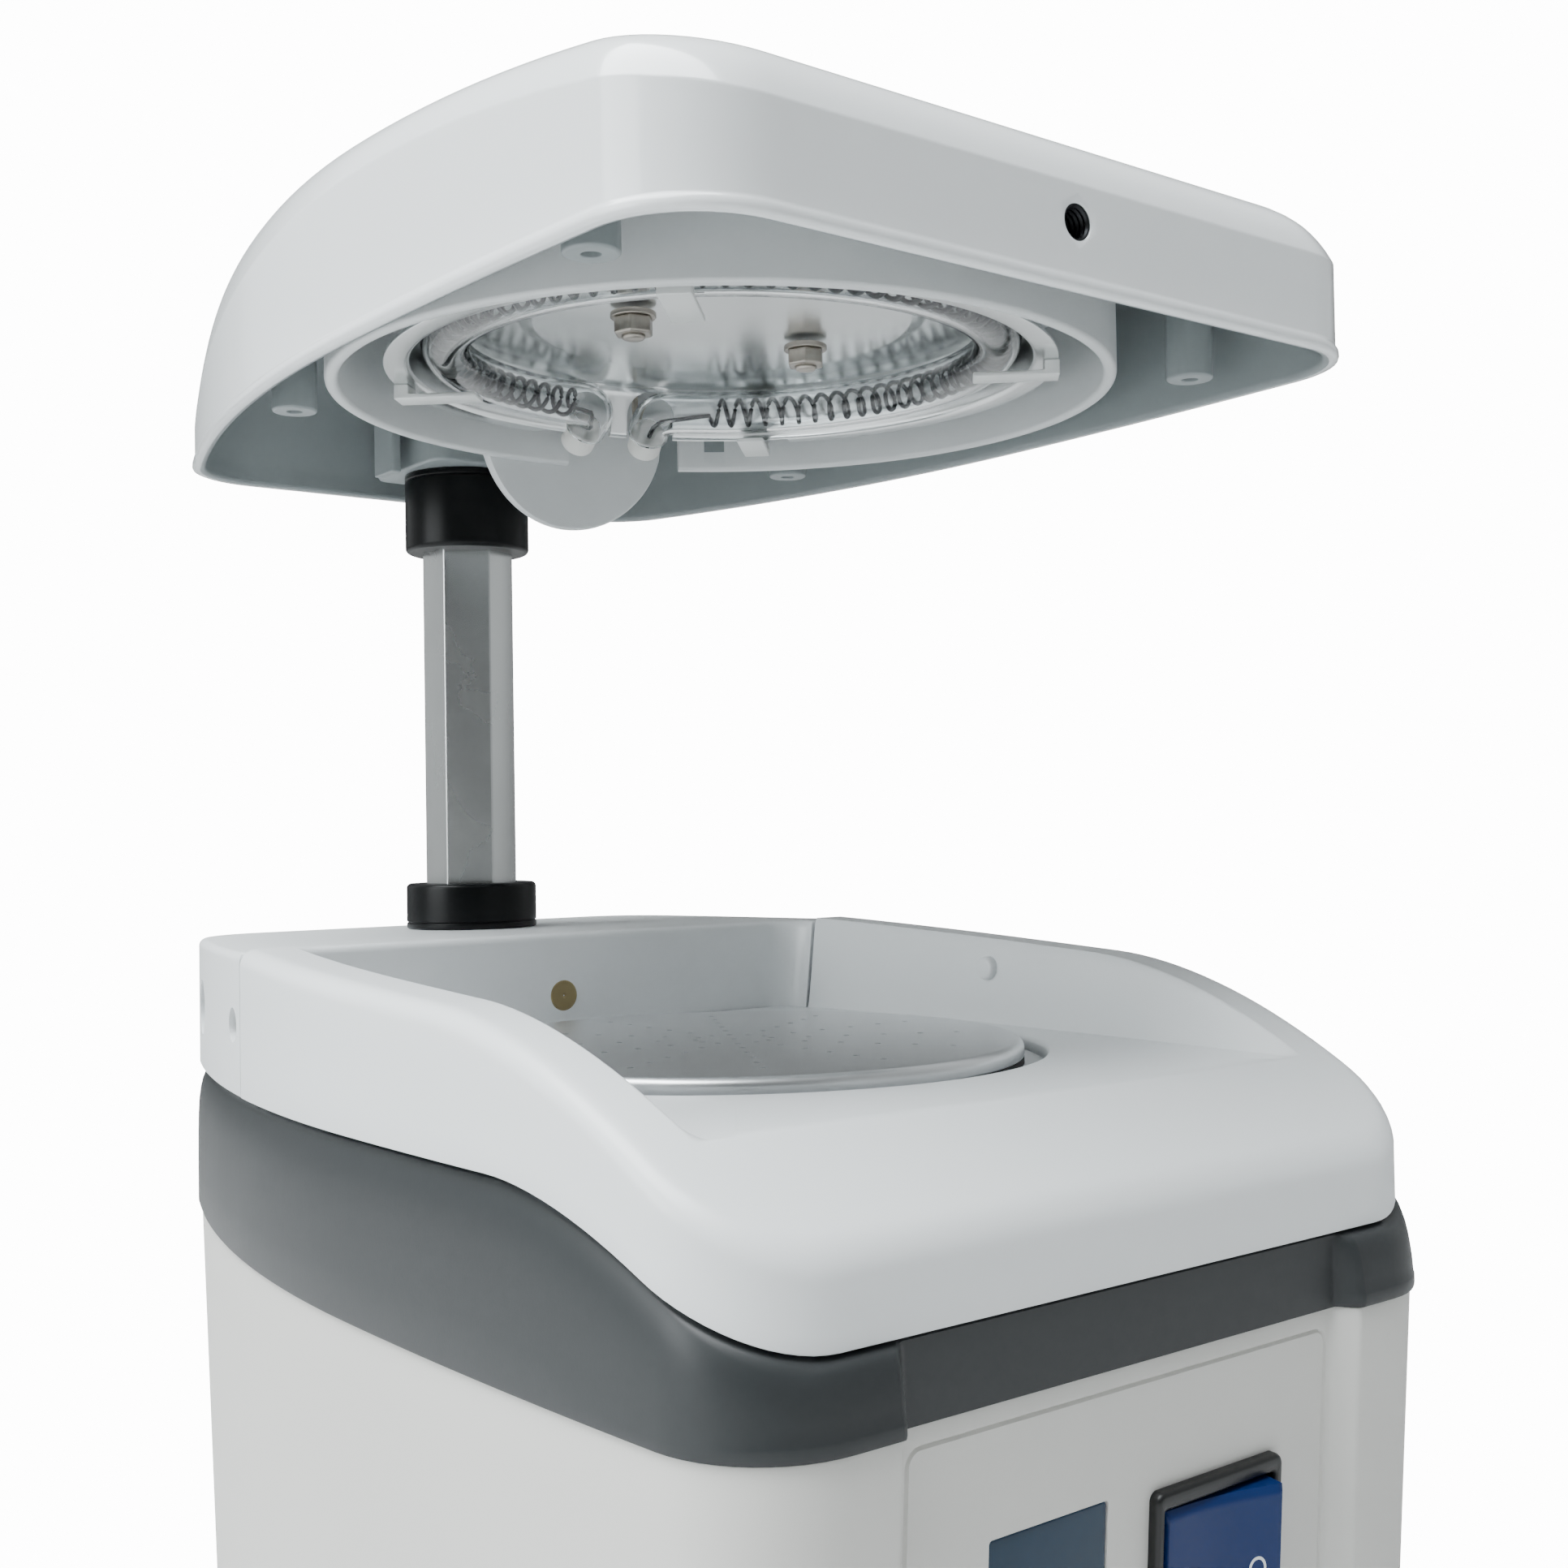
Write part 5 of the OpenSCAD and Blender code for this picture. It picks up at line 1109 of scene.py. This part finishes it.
def studio_floor():
    """Pale floor that sweeps up into a backdrop far behind."""
    u = np.linspace(-6000, 6000, 25)
    prof = rounded([(-5000, 0), (6000, 0), (6000, 5000)], [0, 2500, 0], 24)
    x, y, z = np.broadcast_arrays(u, prof[:, :1], prof[:, 1:] - 0.02)
    c, s = math.cos(math.radians(-38)), math.sin(math.radians(-38))
    p = np.stack([x * c - y * s, x * s + y * c, z], -1)
    return Shape().grid(p, wrap=False).mesh("studio_floor", outward=False, crease=60)


def seen_and_lit(tree, seen, lit, out):
    """Shows one shader node to the camera and lights the scene with another."""
    path, mix = node(tree, "LightPath"), node(tree, "MixShader")
    wire(tree, (path, "Is Camera Ray", mix, 0), (lit, 0, mix, 1), (seen, 0, mix, 2),
         (mix, 0, out, "Surface"))


floor = studio_floor()
ground = finish("pale floor", (0.62, 0.62, 0.62), 0.6, drift=0.01, relief=0.01)
nodes = ground.node_tree.nodes
seen_and_lit(ground.node_tree, node(ground.node_tree, "Emission", {"Strength": WHITE}),
             nodes["Principled BSDF"], nodes["Material Output"])
floor.data.materials.append(ground)


def placed(obj, x, y, z, place):
    """Gives an object its axes and its place, as columns of its matrix."""
    rows = np.column_stack([x, y, z, place]).tolist()
    obj.matrix_world = Matrix(rows + [[0, 0, 0, 1]])


def lamp(name, place, target, size, power):
    """Soft square light aimed at a point, all in metres."""
    light = bpy.data.lights.new(name, "AREA")
    light.shape, light.size, light.energy, light.color = "SQUARE", size, power, COOL
    z = np.array(place, float) - np.array(target, float)
    z /= np.linalg.norm(z)
    x = np.cross([0, 0, 1], z)
    x /= np.linalg.norm(x)
    placed(linked(name, light), x, np.cross(z, x), z, place)


def studio_world():
    """White to the camera; as light, brighter ahead of the camera than behind it."""
    world = bpy.data.worlds.new("studio")
    bpy.context.scene.world = world
    world.use_nodes = True
    t = world.node_tree
    t.nodes.clear()
    out, place = node(t, "OutputWorld"), node(t, "TexCoord")
    seen = node(t, "Background", {"Strength": WHITE, "Color": (1, 1, 1, 1)})
    lit = node(t, "Background", {"Color": (*COOL, 1)})
    ahead = node(t, "VectorMath", {1: (0.614, 0.788, 0.1)}, operation="DOT_PRODUCT")
    span = node(t, "MapRange", {"From Min": -1, "From Max": 0.9, "To Min": 0.09, "To Max": 0.92})
    wire(t, (place, "Generated", ahead, 0), (ahead, "Value", span, "Value"),
         (span, "Result", lit, "Strength"))
    seen_and_lit(t, seen, lit, out)


lamp("top softbox", (-0.4, 0.0, 1.25), (0, 0, 0.2), 1.0, 45)
lamp("left softbox", (-1.25, 0.15, 0.6), (0, 0, 0.22), 0.8, 12)
lamp("front softbox", (0.25, -1.5, 0.45), (0, 0, 0.2), 0.9, 0.6)
studio_world()


def camera():
    """Camera at the photograph's viewpoint: heading 37.95 degrees, 1.4 up, rolled 0.96."""
    data = bpy.data.cameras.new("view")
    data.sensor_width, data.lens, data.clip_end = 36, 2266 / 1932 * 36, 60
    obj = linked("view", data)
    yaw, pitch, roll = math.radians(37.95), math.radians(1.40), math.radians(0.96)
    v = np.array([math.sin(yaw) * math.cos(pitch), math.cos(yaw) * math.cos(pitch),
                  math.sin(pitch)])
    r0 = np.array([math.cos(yaw), -math.sin(yaw), 0])
    u0 = np.cross(r0, v)
    r = math.cos(roll) * r0 - math.sin(roll) * u0
    u = math.sin(roll) * r0 + math.cos(roll) * u0
    placed(obj, r, u, -v, (-0.2178, -0.3090, 0.196))
    bpy.context.scene.camera = obj


camera()
